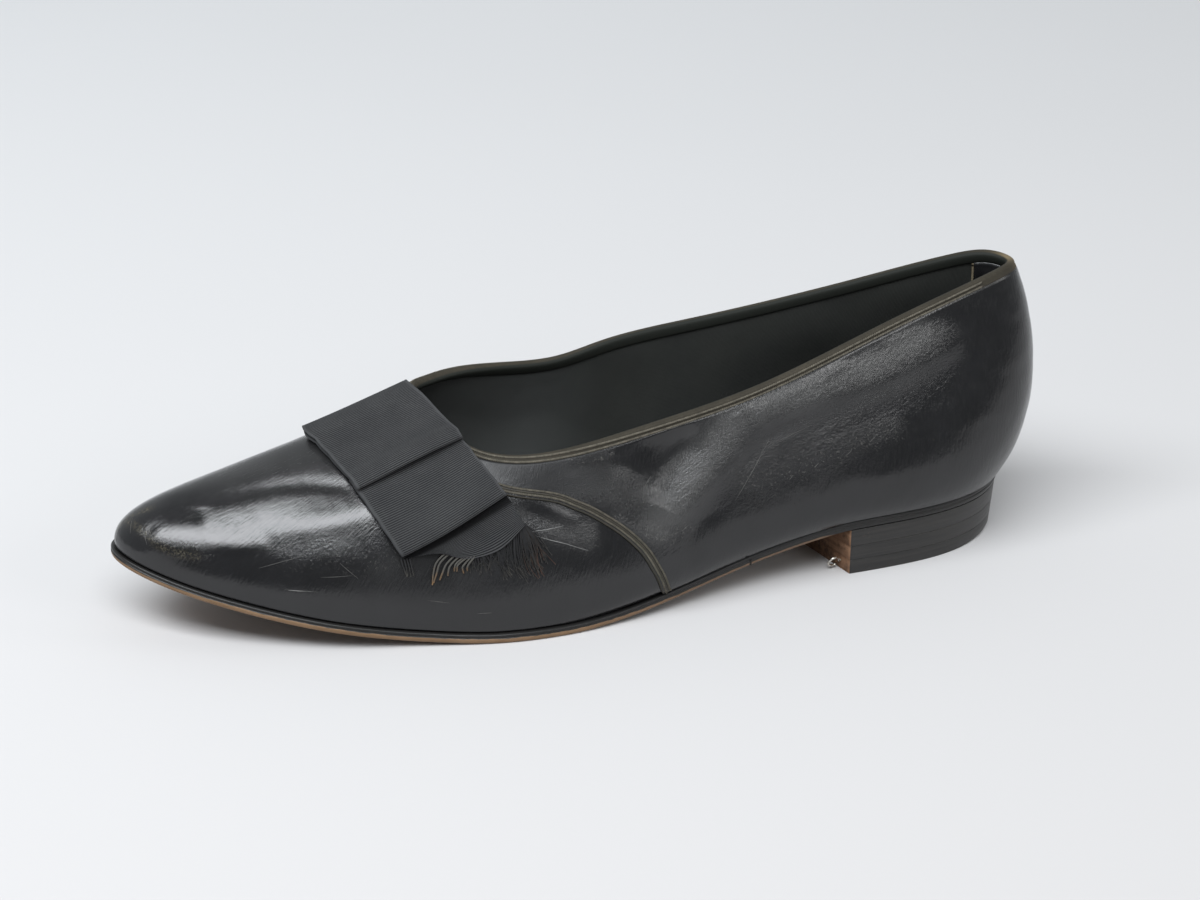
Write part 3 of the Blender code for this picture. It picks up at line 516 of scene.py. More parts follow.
# Where the leather has worn or carries painted sheen and glints, by kind: a line on the wall, the half width
# of its band, and a strength.
WEAR = {
    "abraded": (
        ([(286, .12), (284.5, .2), (277, .215), (271.5, .205), (267.5, .18), (263, .175), (258, .2)],
         1.1, 0.45),
        ([(284, .04), (283, .12), (282, .235), (279, .325)], 1.1, 0.55),
        ([(292, .14), (300, .16), (308, .15)], 1.0, 0.4),
    ),
    # Rubbed leather with less gloss, painted paler grey where it also stands for the sheen on the quarter's
    # bright band.
    "dull_and_sheen": (
        ([(300, .62), (288, .56), (276, .60), (266, .72), (258, .86)], 8.0, 0.5),
        ([(212, .36), (202, .42), (190, .38), (178, .44), (168, .52), (157, .52)], 4.5, 0.22),
        ([(240, .30), (232, .36), (224, .33), (216, .30)], 4.5, 0.05),
        ([(134, .51), (129, .61), (124, .70), (118, .80), (112, .89)], 6.0, 1.0),
        ([(104, .91), (91, .89), (80, .88), (70, .88), (60, .88), (48, .90)], 5.0, 0.9),
        ([(110, .62), (96, .72), (80, .75), (64, .74), (50, .76)], 4.0, 0.2),
        ([(160, .76), (150, .70), (141, .62), (135, .50)], 6.0, 0.25),
        ([(446, .46), (452, .62), (462, .78), (480, .86), (500, .87), (515, .89)], 6.5, 0.9),
    ),
    "matte": (
        ([(194, .93), (182, .90), (170, .87), (158, .84)], 8.0, 1.0),
        ([(158, .80), (150, .72), (142, .64)], 6.0, 0.5),
        ([(214, .30), (198, .30), (184, .33), (172, .40)], 6.0, 0.4),
    ),
    "wrinkled": (
        ([(131, .46), (125, .60), (119, .72), (112, .84)], 6.5, 0.8),
        ([(108, .86), (94, .86), (80, .85), (66, .84), (52, .85), (42, .86)], 5.0, 1.0),
        ([(112, .60), (98, .68), (82, .71), (66, .71), (52, .73), (44, .76)], 7.5, 0.9),
        ([(105, .52), (90, .58), (74, .60), (60, .62)], 5.5, 0.7),
        ([(160, .78), (150, .70), (141, .62), (135, .50)], 6.0, 0.55),
        ([(178, .60), (168, .56), (156, .50)], 3.5, 0.9),
        ([(444, .46), (450, .62), (460, .76), (478, .80), (500, .80), (520, .84)], 8.0, 0.9),
        ([(330, .70), (346, .66), (362, .58), (376, .50)], 5.0, 0.5),
    ),
    # Crackled finish: these bands give both the crackle's bumps and painted glints.
    "crackle_and_glints": (
        ([(148, .56), (139.5, .465), (134.5, .425), (129, .42), (124, .44)], 1.8, 1.0),
        ([(173, .57), (165, .53), (155, .47)], 2.6, 0.8),
        ([(104, .55), (92, .52), (82, .53), (70, .54), (58, .57)], 4.5, 0.75),
        ([(164, .91), (158, .895), (151, .885)], 1.3, 0.9),
        ([(272, .20), (264, .20), (256, .24)], 1.8, 0.7),
        ([(462, .50), (480, .52), (500, .56)], 4.5, 0.6),
        ([(238, .34), (230, .40), (222, .37), (213, .42)], 4.5, 0.5),
    ),
}

# Materials.


class Surface:
    """The nodes of a material or world, with short ways to add and join them."""

    def __init__(self, owner, shader="Principled BSDF"):
        owner.use_nodes = True
        self.owner = owner
        self.nodes = owner.node_tree.nodes
        self.links = owner.node_tree.links
        self.shader = self.nodes[shader]

    def feed(self, socket, value):
        """Joins a socket to an output, or gives it a number, a vector or a colour."""
        if isinstance(value, bpy.types.NodeSocket):
            self.links.new(value, socket)
        elif socket.type == "RGBA":
            socket.default_value = (*value, 1.0)
        else:
            socket.default_value = value

    def node(self, kind, inputs, **settings):
        """Outputs of a new node."""
        node = self.nodes.new("ShaderNode" + kind)
        for key, value in settings.items():
            setattr(node, key, value)
        for key, value in inputs.items():
            self.feed(node.inputs[key], value)
        return node.outputs

    def place(self, size, kind="Object", turn=0.0):
        """Coordinates in units of a size along each way, the first way turned in its plane."""
        source = self.node("TexCoord", {})[kind]
        inputs = {"Vector": source, "Rotation": (0.0, 0.0, math.radians(turn)), "Scale": size}
        return self.node("Mapping", inputs, vector_type="TEXTURE")["Vector"]

    def attribute(self, name):
        return self.node("Attribute", {}, attribute_name=name)["Fac"]

    def noise(self, size, detail=2.0, rough=0.5, kind="Object", turn=0.0, distortion=0.0):
        """Noise whose grains have the given size: one number in millimetres, or three sizes."""
        size = size if isinstance(size, tuple) else (size * MM,) * 3
        inputs = {"Vector": self.place(size, kind, turn), "Scale": 1.0, "Detail": detail}
        return self.node("TexNoise", {**inputs, "Roughness": rough, "Distortion": distortion})["Fac"]

    def ranged(self, value, low, high, to_low=0.0, to_high=1.0):
        inputs = {"Value": value, "From Min": low, "From Max": high, "To Min": to_low, "To Max": to_high}
        return self.node("MapRange", inputs)["Result"]

    def maths(self, operation, first, second):
        return self.node("Math", {0: first, 1: second}, operation=operation)[0]

    def mixed(self, share, first, second):
        return self.node("Mix", {"Factor": share, 6: first, 7: second}, data_type="RGBA")[2]

    def bump(self, height, deep, under=None):
        """Relief of a depth in millimetres."""
        inputs = {"Distance": deep * MM, "Height": height}
        return self.node("Bump", inputs if under is None else {**inputs, "Normal": under})["Normal"]

    def set(self, **values):
        """Feeds the shader and gives back what owns it."""
        for key, value in values.items():
            self.feed(self.shader.inputs[key.replace("_", " ").title().replace("Ior", "IOR")], value)
        return self.owner


def surface(name):
    """A new procedural material."""
    return Surface(bpy.data.materials.new(name))


def leather_material():
    """Worn glossy black leather: grain, short streaks, wrinkles, crackle with painted glints, lustreless
    patches painted paler as a sheen, matte patches, scuffs.
    """
    s = surface("worn_black_leather")
    matte, wrinkled, crackle_and_glints = s.attribute("matte"), s.attribute("wrinkled"), s.attribute("crackle_and_glints")
    patch = s.noise(15, 4.0, 0.6)
    fleck = s.noise(0.75, 4.0, 0.7)
    dull_and_sheen = s.maths("MULTIPLY", s.attribute("dull_and_sheen"), s.ranged(patch, 0.30, 0.55, 0.55, 1.0))
    rubbed = s.maths("MULTIPLY", s.attribute("abraded"), s.ranged(fleck, 0.42, 0.72))
    glint = s.maths("MULTIPLY", crackle_and_glints, s.ranged(fleck, 0.58, 0.66))
    specks = s.ranged(s.noise(2.2, 5.0, 0.8), 0.70, 0.76, 0.0, 0.3)
    base = s.mixed(s.ranged(patch, 0.35, 0.7), (0.006, 0.006, 0.0066), (0.0095, 0.0095, 0.0105))
    # Partly wear, partly painted sheen: rubbed, less glossy leather is made paler grey, which also stands in
    # for the bright band's sheen.
    base = s.mixed(s.maths("MULTIPLY", dull_and_sheen, 0.8), base, (0.040, 0.040, 0.039))
    # Painted glints: pale flecks in the crackled bands stand in for glints of light off the crazed finish.
    base = s.mixed(s.maths("MULTIPLY", glint, 0.6), base, (0.135, 0.131, 0.12))
    base = s.mixed(s.maths("MINIMUM", s.maths("ADD", rubbed, specks), 1.0), base, (0.13, 0.112, 0.068))
    rough = s.ranged(s.noise((0.07, 0.45, 1.0), 4.0, 0.65, "UV"), 0.3, 0.7, 0.10, 0.23)
    for wear, more in ((dull_and_sheen, 0.15), (matte, 0.22), (rubbed, 0.35)):
        rough = s.maths("ADD", rough, s.maths("MULTIPLY", wear, more))
    rough = s.maths("MINIMUM", rough, 0.8)
    normal = s.bump(s.noise(0.8, 3.0, 0.6), 0.022)
    normal = s.bump(s.noise((0.06, 0.32, 1.0), 3.0, 0.6, "UV"), 0.07, normal)
    folds = s.noise((0.26, 0.15, 1.0), 3.0, 0.55, "UV", 150, 1.0)
    crinkle = s.noise((0.13, 0.07, 1.0), 3.0, 0.6, "UV", 30, 0.5)
    for wear, texture, deep in ((wrinkled, folds, 0.20), (wrinkled, crinkle, 0.16), (crackle_and_glints, fleck, 0.16)):
        normal = s.bump(s.maths("MULTIPLY", wear, texture), deep, normal)
    gloss = s.ranged(s.maths("SUBTRACT", dull_and_sheen, matte), -1.0, 1.0, 0.32, 0.92)
    return s.set(base_color=base, roughness=rough, normal=normal, specular_ior_level=gloss)


def plain_material(name, colour, spread, roughness, grain, deep, specular=0.4):
    """A surface with mottled colour and fine grain of a size and depth in millimetres."""
    s = surface(name)
    base = s.mixed(s.ranged(s.noise(grain * 6, 4.0, 0.65), 0.3, 0.7), colour, spread)
    normal = s.bump(s.noise(grain, 4.0, 0.65), deep)
    return s.set(base_color=base, roughness=roughness, normal=normal, specular_ior_level=specular)


# The upper: vamp and quarters, each a closed body.
INNER_ROWS = 14
RELIEF_FADE = (0.5, 5.0)
FOOT_FADE = 0.05
TURN_IN = (1.3, 2.3)
TURNED_IN = 0.25
UV_UNIT = 10
leather = leather_material()


def end_caps(sections, outer_count):
    """Faces over the two open ends of a row of sections."""
    count, points = sections.shape[:2]
    faces = []
    for section, turn in ((0, 1), (count - 1, -1)):
        first = section * points
        low, high = 0, points - 1
        while low < outer_count - 1 or high > outer_count:
            outer_next = (low + 1) / (outer_count - 1) if low < outer_count - 1 else 9
            inner_next = (points - high) / (points - 1 - outer_count) if high > outer_count else 9
            if outer_next <= inner_next:
                face = (first + low, first + low + 1, first + high)
                low += 1
            else:
                face = (first + low, first + high - 1, first + high)
                high -= 1
            faces.append(face[::turn])
    return faces


def leather_piece(name, columns, rows, lap, relief, under):
    """One piece of the upper, up its outer face and down its inner one, with its wear, painted sheen and
    painted glints marked on it.
    """
    columns = np.mod(columns, FULL_RUN)
    column, height = grid(columns, np.linspace(0, 1, rows))
    run = seam_run(column, height)
    base = wall_point(run, height)
    deep = (1 - height) * top_depth(seam_run(columns, 1.0))[:, None]
    fade = smoothstep(*RELIEF_FADE, deep) * smoothstep(0.0, FOOT_FADE, height)
    offset = lap(column) + relief(base).reshape(run.shape) * fade
    offset = offset + (under + TURNED_IN - offset) * (1 - smoothstep(*TURN_IN, deep))
    column, level = grid(columns, np.linspace(1, 0, INNER_ROWS))
    inner = wall_grid(seam_run(column, level), level, np.full(level.shape, under))
    sections = np.concatenate([wall_grid(run, height, offset), inner], axis=1)
    spare = ((0, 0), (0, INNER_ROWS))
    wear = {kind: np.pad(streaks(base, lines).reshape(run.shape), spare) for kind, lines in WEAR.items()}
    base = base.reshape(run.shape + (3,))
    rise = np.cumsum(np.linalg.norm(np.diff(base, axis=1, prepend=base[:, :1]), axis=2), axis=1)
    uv = np.pad(np.stack([run, rise], axis=-1) / UV_UNIT, (*spare, (0, 0)))
    faces = grid_quads(*sections.shape[:2], close_columns=True) + end_caps(sections, rows)
    return mesh_piece(name, sections, faces, leather, wear, uv=uv)


def quarter_lap(column):
    """Thickness of the quarter over the vamp: rounded down at its cut edge."""
    inside = np.minimum(np.abs(column - NEAR_COLUMN), np.abs(column - FAR_COLUMN))
    return LAP - 0.16 * (1 - smoothstep(0.0, 0.45, inside))


vamp_columns = np.concatenate([
    np.linspace(NEAR_COLUMN - 7, NEAR_COLUMN - 0.6, 6),
    np.linspace(NEAR_COLUMN, FAR_COLUMN, 548),
    np.linspace(FAR_COLUMN + 0.6, FAR_COLUMN + 7, 6),
])
edge_steps = np.array([0.0, 0.10, 0.22, 0.40, 0.70, 1.1])
quarter_columns = np.concatenate([
    FAR_COLUMN + edge_steps,
    np.linspace(FAR_COLUMN + 1.7, FULL_RUN + NEAR_COLUMN - 1.7, 540),
    FULL_RUN + NEAR_COLUMN - edge_steps[::-1],
])
vamp = leather_piece("vamp", vamp_columns, 141, np.zeros_like, vamp_relief, -0.9)
quarters = leather_piece("quarters", quarter_columns, 121, quarter_lap, quarter_relief, 0.03)

# Scratches: fine raised lines on the leather.
SCRATCH_POINTS = 14
VAMP_SCRATCHES = (
    [(242.5, .235), (238, .30), (234, .35)], [(226.5, .26), (223, .275), (219, .295)],
    [(233.5, .155), (225, .18)], [(224, .345), (217, .285)], [(242.5, .315), (238.5, .41)],
    [(283, .20), (281, .10), (280, .05)], [(280, .24), (276, .16)], [(274, .23), (270, .15)],
    [(196, .20), (190, .19)], [(182, .13), (178, .135)],
)
VAMP_WHITE_LINES = (
    [(170.5, .525), (166, .50), (161.5, .478), (154.5, .435)], [(172.5, .55), (168, .553), (163, .565)],
    [(232.5, .155), (227, .175)],
)
QUARTER_SCRATCHES = (
    [(109, .48), (103, .61), (97.5, .735)], [(100.5, .69), (92, .70), (84, .71)], [(91, .48), (89.8, .50)],
    [(83, .50), (81.5, .515)], [(73.5, .50), (71.5, .515), (71, .53)], [(65.5, .53), (63.5, .55)],
    [(59, .55), (57.5, .565)], [(133, .43), (130.5, .435)], [(126.5, .43), (124.5, .45)],
    [(141, .66), (138, .73)], [(466, .50), (474, .66)],
)


def scratch(line, relief, lift, radius):
    """A fine tapered line that lies on the leather."""
    run, height = line_places(line, SCRATCH_POINTS)
    base = wall_point(run, height)
    path = base + wall_normal(run, height) * (relief(base) + lift)[:, None]
    return tube(path, radius * (0.3 + 0.7 * np.sin(np.linspace(0, math.pi, SCRATCH_POINTS))), 6)


scratches = mesh_piece(
    "scratches",
    *joined([scratch(line, vamp_relief, 0.0, 0.075) for line in VAMP_SCRATCHES]
            + [scratch(line, quarter_relief, LAP, 0.08) for line in QUARTER_SCRATCHES]),
    plain_material("scratched_leather", (0.040, 0.039, 0.037), (0.095, 0.093, 0.086), 0.5, 0.4, 0.05))
white_lines = mesh_piece(
    "white_lines", *joined([scratch(line, vamp_relief, 0.0, 0.085) for line in VAMP_WHITE_LINES]),
    plain_material("bared_leather", (0.18, 0.18, 0.175), (0.32, 0.32, 0.31), 0.5, 0.4, 0.05))

# The lining: a cloth hoop inside the wall, and a glossy patch over it at the back of the heel.
LINING_TOP = 0.985
LINING_ROWS = 40
LINING_COLUMNS = 300
LINING_FOOT = 0.2
BEHIND_LEATHER = -0.95
BEHIND_FOOT = -0.06
FOOT_CLEAR = 0.03
VAMP_UNDER = 9
TWILL_PITCH = 1.3
PATCH_FROM = 543.3
PATCH_TO = FULL_RUN + 17.5
RIM_POINTS = 30


def lining_sections():
    """Closed sections of the lining, down from the binding to the insole and up behind the leather."""
    inner_levels = np.linspace(LINING_TOP, 0.0, LINING_ROWS)
    run, level = grid(np.linspace(0, FULL_RUN, LINING_COLUMNS, endpoint=False),
                      np.concatenate([inner_levels, [0.0, 0.35, 0.7, LINING_TOP]]))
    slack = 0.12 * wave_field(wall_point(run, level), 9, 12, 26).reshape(run.shape)
    slack = np.clip(slack, -0.2, 0.2) * smoothstep(0.0, 0.1, np.minimum(LINING_TOP - level, level)) - WALL
    beside_vamp = (run > near_seam(level) - VAMP_UNDER) & (run < far_seam(level) + VAMP_UNDER)
    behind = np.where(beside_vamp | (level > LINING_FOOT), BEHIND_LEATHER, BEHIND_FOOT)
    slack[:, LINING_ROWS:] = behind[:, LINING_ROWS:]
    points = wall_grid(run, level, slack)
    points[level <= 0, 2] += FOOT_CLEAR
    uv = np.stack(grid(run[:, 0] / TWILL_PITCH, np.linspace(0, 1, level.shape[1])), axis=-1)
    return points, uv


def lining_material():
    """Dark cloth with a fine upright twill, painted paler toward the front of the shoe to lift the shade
    there.
    """
    s = surface("lining_cloth")
    inputs = {"Vector": s.place((1.0, 1.0, 1.0), "UV"), "Scale": 1.0, "Distortion": 1.2, "Detail": 2.0}
    twill = s.node("TexWave", inputs, bands_direction="X")["Fac"]
    base = s.mixed(s.ranged(s.noise(25, 4.0, 0.6), 0.3, 0.75), (0.022, 0.024, 0.023), (0.036, 0.038, 0.034))
    base = s.mixed(s.ranged(twill, 0.2, 0.9, 0.0, 0.45), base, (0.060, 0.062, 0.059))
    # Painted light: the cloth turns paler toward the front, where the overhanging wall shades it.
    base = s.mixed(s.attribute("front"), base, (0.095, 0.100, 0.098))
    return s.set(base_color=base, roughness=0.85, normal=s.bump(twill, 0.06), specular_ior_level=0.25)


lining_points, lining_uv = lining_sections()
# Painted light on the lining: a mask, strongest toward the toe, that lightens the shaded front of the cloth.
lining_painted_light = 0.8 * (1 - smoothstep(-12, 16, lining_points[..., 0]))
lining = mesh_piece("lining", lining_points, grid_quads(*lining_points.shape[:2], True, True),
                    lining_material(), {"front": lining_painted_light}, uv=lining_uv)

patch_run, patch_level = grid(np.linspace(PATCH_FROM, PATCH_TO, 60), np.linspace(0.45, 0.962, 40))
patch_reach = np.minimum(patch_run - PATCH_FROM, PATCH_TO - patch_run)
patch_edge = 0.35 - 0.25 * (1 - smoothstep(0.0, 1.2, patch_reach))
patch_wave = 0.06 * wave_field(wall_point(patch_run, patch_level), 12, 10, 7).reshape(patch_run.shape)
heel_patch = mesh_piece(
    "heel_patch",
    *slab(wall_grid(patch_run, patch_level, -WALL - 0.28 - patch_edge + patch_wave),
          wall_grid(patch_run, patch_level, 0 * patch_run - WALL + 0.3)),
    plain_material("glossy_heel_patch", (0.010, 0.010, 0.011), (0.022, 0.022, 0.023), 0.24, 0.9, 0.06, 0.55))
rim_level = np.linspace(0.50, 0.958, RIM_POINTS)
rim_run = np.full(RIM_POINTS, PATCH_FROM - 0.2)
rim_path = wall_grid(rim_run, rim_level, np.full(RIM_POINTS, -WALL - 0.35))
patch_rim = mesh_piece(
    "heel_patch_edge", *tube(rim_path, 0.33, 8),
    plain_material("raw_tan_edge", (0.20, 0.165, 0.11), (0.30, 0.25, 0.17), 0.75, 0.4, 0.08))

# The binding round the topline, with two rows of slanted stitches that read as cords. Its section is given
# as distances out from the wall and above the rim.
BINDING_SECTION = (
    (0.42, -2.05), (0.58, -1.96), (0.62, -1.55), (0.50, -1.02), (0.60, -0.45), (0.54, -0.05), (0.36, 0.28),
    (0.05, 0.50), (-0.40, 0.62), (-0.90, 0.64), (-1.40, 0.55), (-1.80, 0.32), (-2.00, 0.0), (-2.10, -0.6),
    (-2.12, -1.4), (-2.08, -2.2), (-1.98, -2.62), (-1.72, -2.7), (-1.60, -2.0), (-1.45, -0.3), (-0.85, 0.10),
    (-0.20, 0.05), (0.10, -0.4), (0.24, -1.9),
)
STITCH_PITCH = 0.62
STITCH_SHARE = np.array([-1.0, -0.64, 0.0, 0.64, 1.0])
STITCH_SIZE = np.array([0.35, 0.85, 1.0, 0.85, 0.35])
STITCH_SIDES = 6


def topline_point(run, out, above):
    """A point beside the topline: out from the wall, above the rim or below it along the wall."""
    height = 1 + np.minimum(above, 0) / top_depth(run)
    upward = unit(wall_point(run, 1.0) - wall_point(run, 1 - HEIGHT_STEP))
    return wall_point(run, height) + wall_normal(run, height) * out + upward * np.maximum(above, 0)


def tape_material():
    """Faded olive-brown tape, darker inside the shoe and rubbed pale at the back of the heel."""
    s = surface("binding_tape")
    weave = s.noise(0.6, 2.0, 0.6)
    base = s.mixed(s.ranged(s.noise(16, 3.0, 0.6), 0.3, 0.7), (0.028, 0.024, 0.016), (0.050, 0.043, 0.030))
    base = s.mixed(s.ranged(weave, 0.35, 0.65, 0.0, 0.6), base, (0.024, 0.020, 0.014))
    base = s.mixed(s.attribute("heel_back"), base, (0.20, 0.155, 0.09))
    base = s.mixed(s.attribute("inside"), base, (0.013, 0.015, 0.012))
    return s.set(base_color=base, roughness=0.72, normal=s.bump(weave, 0.05), specular_ior_level=0.3)


def stitches(path, normals, half, width, slant):
    """Points and faces of a row of short stitches that lie on a surface, turned from the row by an angle."""
    reach = reach_along(path)
    at = np.arange(STITCH_PITCH, reach[-1] - STITCH_PITCH, STITCH_PITCH)
    normal = unit(along_path(normals, reach, at))
    along = along_path(path, reach, at + 0.3) - along_path(path, reach, at - 0.3)
    along = unit(along - normal * np.sum(normal * along, axis=1)[:, None])
    turned = math.cos(slant) * along + math.sin(slant) * np.cross(normal, along)
    across = np.cross(normal, turned)
    turn = np.linspace(0, 2 * math.pi, STITCH_SIDES, endpoint=False)[None, :, None]
    middle = along_path(path, reach, at)[:, None] + turned[:, None] * half * STITCH_SHARE[None, :, None]
    middle = middle + normal[:, None] * (0.4 * width * (1 - STITCH_SHARE**2))[None, :, None]
    ring = across[:, None] * np.cos(turn) + 0.8 * normal[:, None] * np.sin(turn)
    points = middle[:, :, None] + width * STITCH_SIZE[None, :, None, None] * ring[:, None]
    each = len(STITCH_SHARE) * STITCH_SIDES
    one = grid_quads(len(STITCH_SHARE), STITCH_SIDES, close_columns=True)
    one += [list(range(STITCH_SIDES)), list(range(each - STITCH_SIDES, each))[::-1]]
    return points.reshape(-1, 3), [[each * i + k for k in face] for i in range(len(at)) for face in one]


def thread_material(name, colour, light):
    """Stitching thread of uneven colour."""
    s = surface(name)
    base = s.mixed(s.ranged(s.noise(1.1, 2.0, 0.6), 0.3, 0.7), colour, light)
    return s.set(base_color=base, roughness=0.65, specular_ior_level=0.35)


def seam_path(seam, back, offset):
    """A line on the quarter, a set distance back from its cut edge along the wall."""
    height = np.linspace(0.012, 0.975, 420)
    run = seam(height)
    path = wall_point(run, height)
    normal = wall_normal(run, height)
    side = np.cross(unit(np.gradient(path, axis=0)), normal) * (-1 if seam is far_seam else 1)
    path = path + side * back
    rise = offset + quarter_relief(path) * smoothstep(0.0, FOOT_FADE, height)
    return path + normal * rise[:, None], normal


binding_run = seam_run(np.linspace(0, FULL_RUN, 720, endpoint=False), 1.0)
binding_points = np.stack([topline_point(binding_run, out, above) for out, above in BINDING_SECTION], axis=1)
heel_reach = np.minimum(binding_run, FULL_RUN - binding_run)
binding_marks = {
    "inside": np.broadcast_to([float(out < -1.0) for out, _ in BINDING_SECTION], binding_points.shape[:2]),
    "heel_back": np.broadcast_to((0.8 * np.exp(-(heel_reach / 7)**2))[:, None], binding_points.shape[:2]),
}
binding = mesh_piece("topline_tape", binding_points, grid_quads(*binding_points.shape[:2], True, True),
                     tape_material(), binding_marks)
stitch_run = seam_run(np.linspace(20.0, FULL_RUN - 20.0, 1500), 1.0)
stitch_normals = wall_normal(stitch_run, 1.0)
binding_stitches = mesh_piece("binding_stitches", *joined([
    stitches(topline_point(stitch_run, 0.62, above), stitch_normals, 0.46, wide, 0.5)
    for above, wide in ((-0.42, 0.27), (-1.58, 0.25))
]), thread_material("olive_thread", (0.066, 0.059, 0.045), (0.140, 0.126, 0.097)))

seam_parts, bead_parts = [], []
for seam in (near_seam, far_seam):
    for back, offset, radius in ((0.02, 0.36, 0.34), (0.75, LAP - 0.25, 0.40), (2.05, LAP - 0.25, 0.40),
                                 (1.40, LAP - 0.40, 0.50)):
        bead_parts.append(tube(seam_path(seam, back, offset)[0], radius, 8))
    for back, wide in ((0.75, 0.30), (2.05, 0.27)):
        seam_parts.append(stitches(*seam_path(seam, back, LAP + 0.08), 0.44, wide, 0.45))
seam_stitches = mesh_piece("seam_stitches", *joined(seam_parts),
                           thread_material("dark_olive_thread", (0.052, 0.047, 0.036), (0.112, 0.100, 0.077)))
seam_bead = mesh_piece(
    "seam_bead", *joined(bead_parts),
    plain_material("dark_bead", (0.020, 0.018, 0.013), (0.042, 0.036, 0.025), 0.5, 0.5, 0.05))

# The ribbon bow: two flat loops with cross ribs, and the frayed end under the near one.
RIB_PITCH = 0.54
RIB_RISE = 0.16
RIBBON_THICK = 0.4
PLEAT_RISE = 1.2
LOOP_STEPS = (0, 0.006, 0.014, 0.022, 0.03, *np.linspace(0.045, 0.955, 22), 0.97, 0.978, 0.986, 0.994, 1)


def bow_place(across, along):
    """Run and height on the wall: across 0 near, 1 pleat, 2 far; along 0 back, 1 front."""
    lines = np.linspace(0, 2, len(BOW_TABLE))
    row = BowRow(*[np.interp(across, lines, column) for column in BOW_TABLE.T])
    run = row.back_run + (row.front_run - row.back_run) * along
    height = row.back_height + (row.front_height - row.back_height) * along
    return run, height


bow_across = np.linspace(0, 2, 600)
bow_reach = reach_along(wall_point(*bow_place(bow_across, 0.5)))


def loop_outline(rows, thinner):
    """Closed outline of a flattened loop, across the bow and above the wall, and which way is out."""
    first, last = np.interp(rows[[0, -1], 0], bow_across, bow_reach)
    reach = np.linspace(first, last, int((last - first) / RIB_PITCH * 5))
    across = np.interp(reach, bow_reach, bow_across)
    middle = np.interp(across, rows[:, 0], rows[:, 1] + rows[:, 2] / 2)
    half = np.interp(across, rows[:, 0], rows[:, 2] / 2) - thinner
    middle = np.convolve(np.pad(middle, 12, mode="edge"), np.ones(25) / 25, "valid")
    turn = np.linspace(-math.pi / 2, math.pi / 2, 39)[1:-1]
    fold = 1.1 - 0.5 * thinner
    outline = np.vstack([
        np.column_stack([reach, middle - half]),
        np.column_stack([last + fold * np.cos(turn), middle[-1] + half[-1] * np.sin(turn)]),
        np.column_stack([reach, middle + half])[::-1],
        np.column_stack([first - fold * np.cos(turn), middle[0] - half[0] * np.sin(turn)]),
    ])
    along = unit(np.roll(outline, -1, axis=0) - np.roll(outline, 1, axis=0))
    return outline, np.column_stack([along[:, 1], -along[:, 0]])


def ribbon_loop(name, rows):
    """A hollow ribbon loop, open along its front and back edges, its ribs across it."""
    outer, out = loop_outline(rows, 0.0)
    inner, _ = loop_outline(rows, RIBBON_THICK)
    crest = np.abs(np.cos(math.pi * reach_along(outer) / RIB_PITCH))**0.8
    layers, rib_shades = [], []
    for outline in (outer, inner):
        ribbed = outline is outer
        for along in LOOP_STEPS:
            edge = min(along, 1 - along)
            share = smoothstep(0.012, 0.032, edge) if ribbed else 0.0
            selvedge = 0.10 if ribbed and 0.004 < edge < 0.016 else 0.0
            shaped = outline + out * (RIB_RISE * (crest - 0.5) * share + selvedge)[:, None]
            across = np.interp(shaped[:, 0], bow_reach, bow_across)
            lift = 1 - smoothstep(rows[0, 0] + 0.02, rows[0, 0] + 0.37, across)
            lift = PLEAT_RISE * math.sin(math.pi * along) * lift
            above = shaped[:, 1] + lift + 0.08 * np.sin(4 * along + 7 * across)
            layers.append(wall_grid(*bow_place(across, along), above))
            # Painted shade: darkest in the grooves between the ribs.
            rib_shades.append((1 - crest) * share)
    rows_each, count = len(LOOP_STEPS), len(outer)
    shift = rows_each * count
    faces = with_back(grid_quads(rows_each, count, close_columns=True), shift)
    for row, turn in ((0, 1), (rows_each - 1, -1)):
        for j in range(count):
            a, b = row * count + j, row * count + (j + 1) % count
            faces.append((a, a + shift, b + shift, b)[::turn])
    return mesh_piece(name, np.array(layers), faces, ribbon, {"groove": np.array(rib_shades)})


def ribbon_material():
    """Ribbed black ribbon: matt yarn with a faint grey bloom, and painted shade between its ribs and on the
    loose end under the near loop.
    """
    s = surface("black_ribbon")
    yarn = s.noise(0.35, 2.0, 0.6)
    base = s.mixed(s.ranged(s.noise(12, 4.0, 0.6), 0.3, 0.75), (0.050, 0.051, 0.053), (0.074, 0.075, 0.076))
    base = s.mixed(s.ranged(yarn, 0.35, 0.7, 0.0, 0.4), base, (0.024, 0.024, 0.026))
    # Painted shade: nearly black where the mask marks rib grooves and the loose end's band under the near
    # loop.
    base = s.mixed(s.ranged(s.attribute("groove"), 0.12, 0.7, 0.0, 0.95), base, (0.006, 0.006, 0.0065))
    return s.set(base_color=base, roughness=0.9, normal=s.bump(yarn, 0.03), specular_ior_level=0.15)


ribbon = ribbon_material()
near_loop = ribbon_loop("ribbon_near", NEAR_LOOP)
far_loop = ribbon_loop("ribbon_far", FAR_LOOP)

